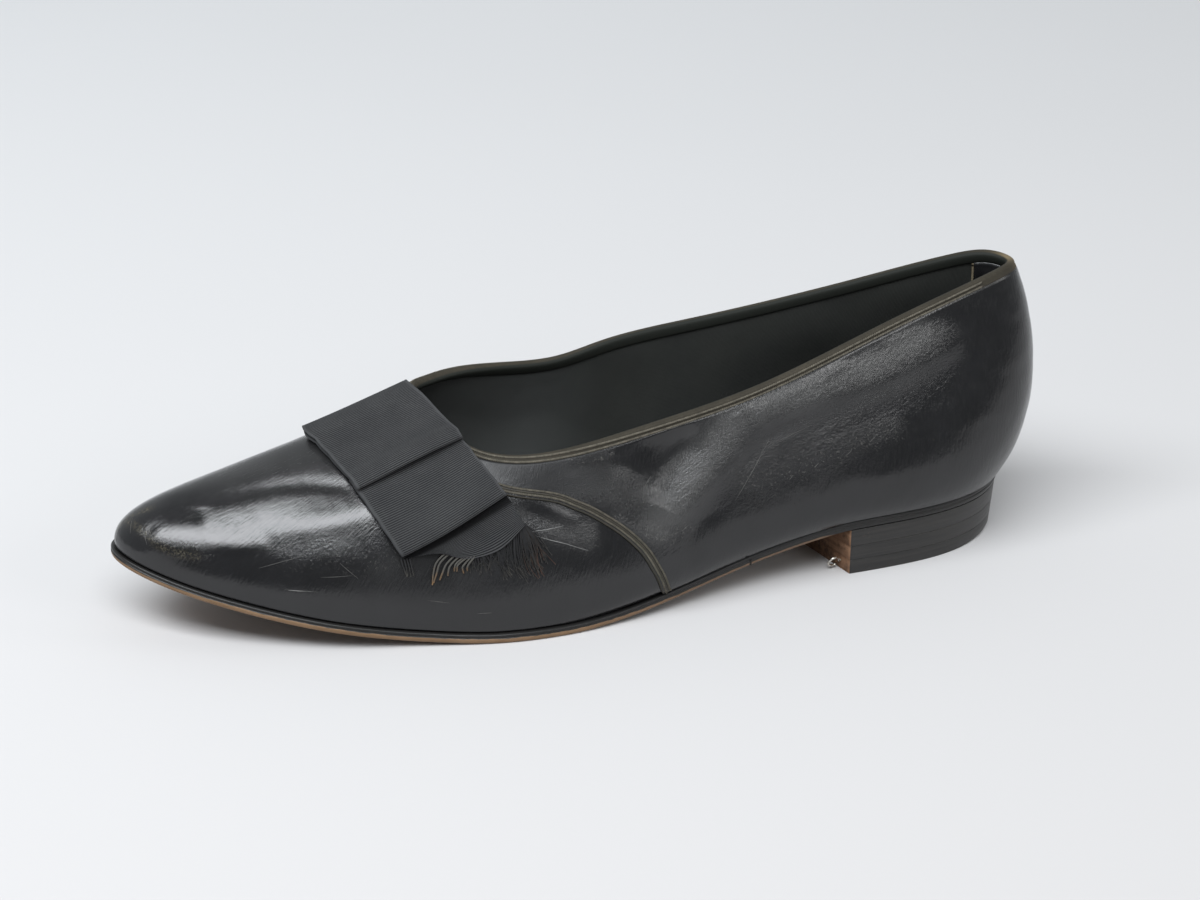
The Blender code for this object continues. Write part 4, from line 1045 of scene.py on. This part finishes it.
# The ribbon's loose end: ribs of its woven part, rib ends at its front, finer threads at its back.
TAIL_RIBS = (
    ((206.5, .415), (201.5, .485), (195.5, .565), (190.0, .645), (183.5, .725)),
    ((203.5, .430), (198.5, .470), (192.5, .535), (186.5, .605), (180.0, .670)),
    ((201.0, .440), (195.5, .455), (189.5, .490), (183.5, .555), (177.5, .625)),
    ((199.0, .452), (192.5, .430), (187.0, .432), (180.5, .478), (175.5, .585)),
)
TAIL_RIB_COUNT = 20
FRONT_ENDS = (
    ((196.5, .455), (198.0, .405), (197.5, .350), (196.5, .295)),
    ((195.5, .450), (197.0, .400), (196.5, .350), (196.0, .300)),
    ((193.5, .445), (195.2, .395), (195.2, .350), (195.0, .315)),
    ((192.0, .440), (193.6, .390), (193.4, .355), (193.0, .335)),
    ((190.5, .435), (192.4, .400), (192.4, .375), (192.0, .355)),
    ((189.5, .435), (191.2, .395), (191.2, .375), (191.0, .355)),
    ((188.5, .435), (189.8, .390), (189.7, .370), (189.2, .350)),
    ((187.5, .435), (188.5, .400), (188.5, .380), (188.0, .365)),
)
BACK_ENDS = (
    ((181.5, .475), (180.0, .400), (177.0, .345), (174.0, .280)),
    ((178.5, .520), (177.5, .435), (175.5, .370), (172.0, .315)),
    ((177.0, .570), (174.7, .475), (172.0, .385), (168.5, .320)),
    ((176.5, .595), (172.5, .510), (169.5, .420), (166.5, .335)),
    ((176.8, .605), (171.8, .545), (168.3, .485), (165.0, .425)),
)
CORNER_ENDS = (
    ((209.0, .410), (207.0, .370), (204.5, .320)),
    ((206.5, .410), (204.5, .372), (202.5, .330)),
)
MIDDLE_ENDS = (
    ((190.0, .440), (189.0, .395), (188.5, .345)),
    ((182.0, .480), (179.5, .420), (177.5, .350)),
)
THREAD_POINTS = 14
THREAD_SIDES = 6
shake = np.random.default_rng(21)


def between(curves, share, along):
    """Run and height between a few curves: share across them, and along them."""
    curves = np.array(curves)
    share, along = np.ravel(share), np.ravel(along)
    marks = np.linspace(0, 1, curves.shape[1])
    knots = np.linspace(0, 1, len(curves))
    total = np.zeros((2, len(along)))
    for k, curve in enumerate(curves):
        weight = 1.0
        for other in np.delete(knots, k):
            weight = weight * (share - other) / (knots[k] - other)
        total += weight * np.array([smooth_table(along, marks, column) for column in curve.T])
    return total


def tail_body():
    """The woven part of the loose end."""
    down, along = grid(np.linspace(-0.16, 1.02, 142), np.linspace(0, 1, 64))
    run, height = between(TAIL_RIBS, down, along).reshape(2, *down.shape)
    crest = np.abs(np.cos(math.pi * TAIL_RIB_COUNT * down))
    above = 0.7 + 0.35 * smoothstep(0.2, 1.0, down) * (1 + 0.6 * np.sin(7 * along + 1))
    top = wall_grid(run, height, above + RIBBON_THICK + 0.22 * (crest - 0.5))
    # Painted shade on the loose end: dark in the grooves between its ribs and in a band along the near loop's
    # edge, where that loop's shadow falls.
    shaded = np.maximum(1 - crest, 0.75 * (1 - smoothstep(0.04, 0.30, down)))
    return mesh_piece("ribbon_tail", *slab(top, wall_grid(run, height, above)), ribbon,
                      {"groove": np.stack([shaded, 0 * shaded])})


def loose_end(curves, share, reach, jitter, lift, radius):
    """One thread that hangs between a few curves, and the share along it at each of its points."""
    along = np.linspace(0, 1, THREAD_POINTS)
    run, height = between(curves, share, along * reach)
    run = run + jitter[0] * along**1.5 + jitter[1] * np.sin(4 * along)
    height = height + jitter[2] * along**1.5
    above = np.maximum(lift[0] + (lift[1] - lift[0]) * along + 0.3 * np.sin(math.pi * along), 0.25)
    thread = tube(wall_grid(run, height, above), radius * (1 - 0.35 * along**2), THREAD_SIDES)
    return thread, np.repeat(along, THREAD_SIDES)


def even_ends(curves, shares, spread, lift, radius):
    """Threads at set places between a few curves, each a little shaken."""
    return [loose_end(curves, share, 1.0, shake.normal(0, spread), lift, radius) for share in shares]


def ragged_ends(count, curves, first_share, least_reach, spread, tips, radius):
    """Threads at random places between a few curves, their tips between two distances above the wall."""
    ends = []
    for _ in range(count):
        share = shake.uniform(first_share, 1)
        reach = shake.uniform(least_reach, 1.0)
        jitter = shake.normal(0, spread)
        lift = (0.9, shake.uniform(*tips))
        ends.append(loose_end(curves, share, reach, jitter, lift, radius))
    return ends


def fringe(name, ends, material_name, root, tip):
    """Loose threads as one piece, fading from their roots to their tips."""
    s = surface(material_name)
    shade = s.maths("MULTIPLY", s.attribute("tip"), s.ranged(s.noise(1.5, 2.0, 0.6), 0.25, 0.6, 0.6, 1.0))
    base = s.mixed(s.ranged(shade, 0.45, 0.95), root, tip)
    material = s.set(base_color=base, roughness=0.85, specular_ior_level=0.2)
    return mesh_piece(name, *joined([end for end, _ in ends]), material,
                      {"tip": np.concatenate([tips for _, tips in ends])})


front_ends = even_ends(FRONT_ENDS, np.linspace(0, 1, len(FRONT_ENDS)), (0.2, 0.1, 0.004), (1.1, 0.5), 0.28)
dark_ends = even_ends(CORNER_ENDS, (0.0, 0.33, 0.67, 1.0), (0.3, 0.1, 0.004), (0.8, 0.4), 0.24)
dark_ends += ragged_ends(64, BACK_ENDS, 0, 0.7, (1.0, 0.4, 0.015), (0.3, 0.9), 0.10)
dark_ends += ragged_ends(34, MIDDLE_ENDS, 0, 0.5, (1.0, 0.4, 0.012), (0.3, 0.7), 0.10)
rusty_ends = ragged_ends(12, BACK_ENDS, 0.45, 0.8, (1.6, 0.6, 0.02), (0.4, 1.0), 0.08)
tail = tail_body()
fringe_front = fringe("fringe_front", front_ends, "tan_tips", (0.072, 0.069, 0.062), (0.17, 0.105, 0.055))
fringe_back = fringe("fringe_back", dark_ends, "dark_threads", (0.022, 0.022, 0.023), (0.055, 0.052, 0.047))
fringe_rusty = fringe("fringe_rusty", rusty_ends, "rusty_threads",
                      (0.024, 0.021, 0.019), (0.085, 0.045, 0.032))

# The sole. Its profile is given as how far it is cut in and how far it is above the underside.
SOLE_PROFILE = (
    (1.5, 0.0), (1.0, 0.0), (0.72, 0.03), (0.45, 0.14), (0.22, 0.32), (0.10, 0.55), (0.02, 0.85), (0.0, 1.15),
    (0.03, 1.42), (0.12, 1.56), (0.30, 1.66), (0.30, 1.74), (0.12, 1.84), (0.05, 2.0), (0.08, 2.3),
    (0.2, 2.55), (0.45, 2.72), (0.9, SOLE_THICK), (1.6, SOLE_THICK),
)
BLACK_STATIONS = (58, 63, 70, 110, 140, 235, 262)
BLACK_FROM = (-1.5, -0.6, 0.9, 1.1, 1.45, 1.55, 1.2)
NICK_STATION = 93.0
NICK_POINTS = 6


def chains(count):
    """Runs of the near and far chains at the same stations, from the heel's back to the toe."""
    near = np.linspace(0, TOE_RUN, 4000)
    far = np.linspace(FULL_RUN, TOE_RUN, 4000)
    near_station = feather(near)[0][:, 0]
    far_station = feather(far)[0][:, 0]
    share = 0.5 * (1 - np.cos(np.linspace(0, math.pi, count)))
    stations = near_station[0] + (near_station[-1] - near_station[0]) * share
    return np.interp(stations, near_station, near), np.interp(stations, far_station, far)


def sole_plan(run, cut_in):
    """Plan of the sole's edge, less what is cut in."""
    place, outward = feather(run)
    ledge = np.interp(place[:, 0], (LEDGE_FROM, LEDGE_TO), (LEDGE_SEAT, LEDGE_FOREPART))
    return place + outward * (ledge - cut_in)[:, None]


def capped_slab(rings, across=16):
    """Points and faces of a closed slab from rings that run up the near chain and down the far one."""
    levels, points = rings.shape[:2]
    count = points // 2 + 1
    blocks = [rings.reshape(-1, 3)]
    faces = grid_quads(levels, points, close_columns=True)
    first = levels * points
    for level, turn in ((0, -1), (levels - 1, 1)):
        ring = rings[level]
        index = np.zeros((count, across + 1), int)
        for i in range(count):
            opposite = (points - i) % points
            index[i] = level * points + i
            index[i, -1] = level * points + opposite
            if i in (0, count - 1):
                continue
            blocks.append(ring[i] + (ring[opposite] - ring[i]) * np.linspace(0, 1, across + 1)[1:-1, None])
            index[i, 1:-1] = first + np.arange(across - 1)
            first += across - 1
        for quad in grid_quads(count, across + 1):
            face = list(dict.fromkeys(index.ravel()[quad].tolist()))
            if len(face) > 2:
                faces.append(face[::turn])
    return np.vstack(blocks), faces


def sole_attributes(points):
    """How far up the edge a point is, where the blacking begins there, and whether it is the waist."""
    station = MID_STATION - points[:, 0]
    return {
        "edge_up": points[:, 2] - underside(station),
        "black_from": np.interp(station, BLACK_STATIONS, BLACK_FROM),
        "waist": 1 - smoothstep(105, 150, station),
    }


def sole_material():
    """Leather sole: blackened upper edge, tan lower edge, brown worn underside."""
    s = surface("worn_sole")
    up = s.attribute("edge_up")
    mottle = s.ranged(s.noise(9, 4.0, 0.65), 0.3, 0.72)
    streak = s.ranged(s.noise((0.016, 0.004, 0.0011), 4.0, 0.6), 0.3, 0.7)
    tan = s.mixed(mottle, (0.150, 0.088, 0.044), (0.225, 0.138, 0.076))
    tan = s.mixed(s.ranged(streak, 0.4, 1.0, 0.0, 0.5), tan, (0.20, 0.12, 0.06))
    tan = s.mixed(s.maths("MULTIPLY", s.attribute("waist"), 0.7), tan, (0.135, 0.085, 0.055))
    below = s.mixed(mottle, (0.15, 0.075, 0.035), (0.24, 0.13, 0.065))
    below = s.mixed(s.ranged(s.noise(40, 5.0, 0.6), 0.42, 0.6), below, (0.10, 0.06, 0.035))
    base = s.mixed(s.ranged(up, 0.02, 0.12), below, tan)
    ragged = s.maths("ADD", up, s.ranged(s.noise(3.3, 3.0, 0.6), 0.2, 0.8, -0.18, 0.18))
    ragged = s.maths("SUBTRACT", ragged, s.attribute("black_from"))
    black = s.maths("MULTIPLY", s.ranged(ragged, -0.07, 0.07), s.ranged(up, 0.01, 0.06))
    base = s.mixed(black, base, (0.011, 0.0105, 0.010))
    rough = s.ranged(black, 0.0, 1.0, 0.62, 0.36)
    normal = s.bump(s.noise(1.1, 4.0, 0.7), 0.05)
    return s.set(base_color=base, roughness=rough, normal=normal, specular_ior_level=0.4)


sole_near, sole_far = chains(260)
sole_loop = np.concatenate([sole_near, sole_far[-2:0:-1]])
sole_rings = []
for cut_in, up in SOLE_PROFILE:
    plan = sole_plan(sole_loop, cut_in)
    sole_rings.append(placed(plan[:, 0], plan[:, 1], underside(plan[:, 0]) + up))
sole_points, sole_faces = capped_slab(np.stack(sole_rings))
sole = mesh_piece("sole", sole_points, sole_faces, sole_material(), sole_attributes(sole_points))

# A nick in the sole's edge, drawn as a thin dark rod: its dark colour is painted shade of the cut.
nick_run = np.interp(NICK_STATION, feather(sole_near)[0][:, 0], sole_near)
nick_station, nick_side = sole_plan(nick_run, 0.12)[0]
nick_up = underside(nick_station) + np.linspace(0.25, 1.9, NICK_POINTS)
nick_path = placed(np.full(NICK_POINTS, nick_station), np.full(NICK_POINTS, nick_side), nick_up)
sole_nick = mesh_piece(
    "sole_nick", *tube(nick_path, 0.34, 8),
    plain_material("dark_nick", (0.008, 0.007, 0.006), (0.016, 0.013, 0.011), 0.8, 0.5, 0.05))

# The heel: three lifts with softened edges and a bare leather breast. A lift's profile is given as how far it
# is cut in, its share of the way up, and a shift up.
CHAIN_POINTS = 90
BREAST_POINTS = 40
LIFT_PROFILE = (
    (1.2, 0, 0.0), (0.12, 0, 0.0), (0.04, 0, 0.04), (0.0, 0, 0.14), (0.0, 0.5, 0.0), (0.0, 1, -0.14),
    (0.04, 1, -0.04), (0.12, 1, 0.0), (1.2, 1, 0.0),
)


def breast_station(side):
    """Station of the heel's front face, which slants forward toward the far side."""
    return BREAST_NEAR_STATION + (side - BREAST_NEAR_SIDE) * math.tan(math.radians(BREAST_SKEW))


def heel_floor(station, side):
    """Height of the heel's tread above the floor: worn away at the back, most on the near side."""
    back = np.clip((WEAR_FROM - station) / WEAR_FROM, 0, 1)
    lean = np.clip(0.5 - side / WEAR_WIDTH, 0, 1)
    return WEAR_DEEP * back**WEAR_POWER * (WEAR_FAR_SHARE + (1 - WEAR_FAR_SHARE) * lean)


def heel_chain(runs, cut_in):
    """One side of the heel's plan, from the back to its corner at the breast."""
    plan = sole_plan(runs, HEEL_INSET + cut_in)
    spare = breast_station(plan[:, 1]) - cut_in - plan[:, 0]
    last = int(np.argmax(spare < 0))
    share = spare[last - 1] / (spare[last - 1] - spare[last])
    corner = plan[last - 1] + share * (plan[last] - plan[last - 1])
    chain = np.vstack([plan[:last], corner])
    reach = reach_along(chain)
    return along_path(chain, reach, np.linspace(0, reach[-1], CHAIN_POINTS))


def heel_ring(cut_in, up):
    """A closed ring round the heel: near side forward, across the breast, far side back."""
    near = heel_chain(np.linspace(0, 120, 700), cut_in)
    far = heel_chain(np.linspace(FULL_RUN, FULL_RUN - 130, 700), cut_in)
    front = near[-1] + (far[-1] - near[-1]) * np.linspace(0, 1, BREAST_POINTS + 2)[1:-1, None]
    plan = np.vstack([near, front, far[:0:-1]])
    height = up(plan[:, 0], plan[:, 1])
    rake = HEEL_RAKE * (1 - height / HEEL_HEIGHT) * (1 - plan[:, 0] / breast_station(plan[:, 1]))
    return placed(plan[:, 0] + np.clip(rake, 0, None), plan[:, 1], height)


def heel_lift(name, low, high):
    """One lift of the heel with softened edges, between two heights that depend on station and side."""
    rings = np.stack([
        heel_ring(cut_in, lambda a, b: (1 - share) * low(a, b) + share * high(a, b) + shift)
        for cut_in, share, shift in LIFT_PROFILE
    ])
    levels, points = rings.shape[:2]
    faces = grid_quads(levels, points, close_columns=True)
    breast = range(CHAIN_POINTS - 1, CHAIN_POINTS + BREAST_POINTS)
    kinds = [int(i % points in breast) for i in range(len(faces))]
    for level, turn in ((0, -1), (levels - 1, 1)):
        centre = levels * points + (1 if level else 0)
        for j in range(points):
            faces.append((level * points + j, level * points + (j + 1) % points, centre)[::turn])
            kinds.append(0 if level else 2)
    corners = np.vstack([rings.reshape(-1, 3), rings[0].mean(axis=0), rings[-1].mean(axis=0)])
    return mesh_piece(name, corners, faces, heel_finish, face_materials=kinds)


def heel_material():
    """Blackened stacked leather with fine level lines, browner toward the tread."""
    s = surface("blackened_heel")
    lines = s.noise((0.030, 0.030, 0.0008), 3.0, 0.6)
    base = s.mixed(s.ranged(lines, 0.35, 0.7), (0.013, 0.0125, 0.012), (0.026, 0.024, 0.022))
    base = s.mixed(s.ranged(s.noise(5, 5.0, 0.75), 0.64, 0.74, 0.0, 0.5), base, (0.075, 0.055, 0.038))
    rough = s.ranged(lines, 0.3, 0.7, 0.32, 0.46)
    normal = s.bump(lines, 0.035, s.bump(s.noise(1.0, 3.0, 0.6), 0.02))
    return s.set(base_color=base, roughness=rough, normal=normal, specular_ior_level=0.5)


def breast_material():
    """Bare red-brown leather on the heel's breast, its layers showing."""
    s = surface("heel_breast")
    layers = s.ranged(s.noise((0.016, 0.016, 0.0014), 3.0, 0.6), 0.3, 0.7)
    base = s.mixed(layers, (0.15, 0.078, 0.044), (0.27, 0.155, 0.092))
    base = s.mixed(s.ranged(s.noise(4.5, 4.0, 0.7), 0.5, 0.7), base, (0.05, 0.028, 0.018))
    normal = s.bump(s.noise(1.1, 4.0, 0.7), 0.08)
    return s.set(base_color=base, roughness=0.7, normal=normal, specular_ior_level=0.3)


def level(up):
    """A flat height over the whole heel."""
    return lambda station, side: np.full(len(station), up)


heel_finish = [heel_material(), breast_material(),
               plain_material("heel_tread", (0.075, 0.045, 0.026), (0.13, 0.085, 0.05), 0.75, 1.1, 0.1)]
top_piece = heel_lift("heel_tread_lift", heel_floor, level(TOP_PIECE_TOP + 0.09))
lower_lift = heel_lift("heel_lift_low", level(TOP_PIECE_TOP + 0.11), level(LOWER_LIFT_TOP + 0.11))
upper_lift = heel_lift("heel_lift_high", level(LOWER_LIFT_TOP + 0.13),
                       lambda station, side: underside(station) - 0.02)

# The wire eye.


def eye_path():
    """The wire eye: a shank into the breast, then an open ring in front of it."""
    skew = math.radians(BREAST_SKEW)
    front = np.array([-math.cos(skew), -math.sin(skew), 0.0])
    lean = math.radians(EYE_LEAN)
    rise = np.array([0.0, -math.sin(lean), math.cos(lean)])
    root = placed(breast_station(EYE_SIDE), EYE_SIDE, EYE_UP)[0]
    centre = root + front * (EYE_RADIUS + GAP + EYE_WIRE)
    turn = np.radians(np.linspace(180, 540 - EYE_OPENING, 48))
    ring = [centre + EYE_RADIUS * (math.cos(t) * front - math.sin(t) * rise) for t in turn]
    return np.array([root - front * EYE_SHANK, root - front * EYE_SHANK / 2, root - front * 0.1] + ring)


def wire_material():
    """Dull silvery wire."""
    s = surface("silvery_wire")
    tarnish = s.ranged(s.noise(1.1, 3.0, 0.6), 0.35, 0.7)
    base = s.mixed(tarnish, (0.78, 0.76, 0.70), (0.55, 0.52, 0.45))
    return s.set(base_color=base, roughness=s.ranged(tarnish, 0, 1, 0.22, 0.4), metallic=1.0)


eye = mesh_piece("wire_eye", *tube(eye_path(), EYE_WIRE, 12), wire_material())

# The insole keeps its solid and takes a finish.
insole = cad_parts["insole"]
insole.data.materials.clear()
insole.data.materials.append(
    plain_material("insole_leather", (0.024, 0.023, 0.020), (0.050, 0.045, 0.038), 0.8, 1.4, 0.08, 0.2))

# Riding and replacing: the parts that pieces replace are hidden, and every piece, listed under its slot's
# name, rides the root body.
for piece, node in (
    (vamp, "upper"), (quarters, "upper"), (binding, "topline_binding"), (near_loop, "bow_loop_near"),
    (far_loop, "bow_loop_far"), (tail, "bow_tail"), (sole, "outsole"), (top_piece, "heel_top_piece"),
    (lower_lift, "heel_lift_lower"), (upper_lift, "heel_lift_upper"), (eye, "heel_eye"),
):
    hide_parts(node)
for slot, pieces in {
    "upper_leather": (vamp, quarters, scratches, white_lines, heel_patch, patch_rim, seam_bead),
    "insole_leather": (lining,),
    "binding_tape": (binding, binding_stitches, seam_stitches),
    "ribbon": (near_loop, far_loop, tail, fringe_front, fringe_back, fringe_rusty),
    "sole_leather": (sole, sole_nick),
    "heel_leather": (top_piece, lower_lift, upper_lift),
    "steel_wire": (eye,),
}.items():
    for piece in pieces:
        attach(piece, "root")

# Floor, light and camera.
CAMERA_AZIMUTH = -21.3
CAMERA_ELEVATION = 23.0
CAMERA_ROLL = math.radians(0.8)
CAMERA_DISTANCE = 0.8497
CAMERA_TARGET = Vector((8.44, 16.63, 28.07)) * MM
scene = bpy.context.scene


def floor_material():
    """Pale seamless paper with painted light: darker toward the viewer and paler far back."""
    s = surface("pale_paper")
    back = s.node("SeparateXYZ", {0: s.place((1.0, 1.0, 1.0))})["Y"]
    # Painted light: the paper darkens toward the viewer and brightens far back, standing in for how the light
    # falls across it.
    base = s.mixed(s.ranged(back, -1.45, -0.55), (0.550, 0.537, 0.534), (0.795, 0.798, 0.805))
    base = s.mixed(s.ranged(s.noise(330, 3.0, 0.5), 0.3, 0.7, 0.0, 0.06), base, (0.60, 0.60, 0.60))
    normal = s.bump(s.noise(2.0, 3.0, 0.6), 0.01)
    return s.set(base_color=base, roughness=0.85, normal=normal, specular_ior_level=0.1)


def compass(azimuth, elevation):
    """Direction from the shoe, in degrees round it from the near side and above the floor."""
    azimuth, elevation = math.radians(azimuth), math.radians(elevation)
    flat = math.cos(elevation)
    return Vector((math.sin(azimuth) * flat, -math.cos(azimuth) * flat, math.sin(elevation)))


def softbox(name, azimuth, elevation, distance, width, height, power, colour):
    """A soft light that faces the shoe."""
    data = bpy.data.lights.new(name, "AREA")
    data.shape = "RECTANGLE"
    data.size = width
    data.size_y = height
    data.energy = power
    data.color = colour
    item = bpy.data.objects.new(name, data)
    way = compass(azimuth, elevation)
    item.location = way * distance
    item.rotation_euler = way.to_track_quat("Z", "Y").to_euler()
    scene.collection.objects.link(item)


bpy.ops.mesh.primitive_plane_add(size=8.0, location=(0, 1.2, 0))
floor = bpy.context.object
floor.name = "floor"
floor.data.materials.append(floor_material())

softbox("main_light", -45, 55.5, 1.6, 1.9, 0.60, 37.5, (0.94, 0.97, 1.0))
softbox("low_light", 28, 27, 1.7, 0.62, 0.33, 3.2, (1.0, 1.0, 1.0))
softbox("side_light", 64, 24, 1.7, 0.5, 0.7, 2.4, (1.0, 0.99, 0.97))
studio = Surface(bpy.data.worlds.new("studio"), "Background")
depth = studio.node("SeparateXYZ", {0: studio.node("TexCoord", {})["Generated"]})["Y"]
scene.world = studio.set(color=(0.93, 0.97, 1.0), strength=studio.ranged(depth, -0.6, 0.7, 0.20, 0.56))
scene.view_settings.view_transform = "Standard"

camera_data = bpy.data.cameras.new("camera")
camera_data.lens = 90
camera_data.sensor_width = 36
camera_data.clip_start = 0.01
camera = bpy.data.objects.new("camera", camera_data)
back = compass(CAMERA_AZIMUTH, CAMERA_ELEVATION)
right = Vector((0.0, 0.0, 1.0)).cross(back).normalized()
facing = Matrix((right, back.cross(right), back)).transposed() @ Matrix.Rotation(CAMERA_ROLL, 3, "Z")
camera.matrix_world = Matrix.Translation(CAMERA_TARGET + back * CAMERA_DISTANCE) @ facing.to_4x4()
scene.collection.objects.link(camera)
scene.camera = camera
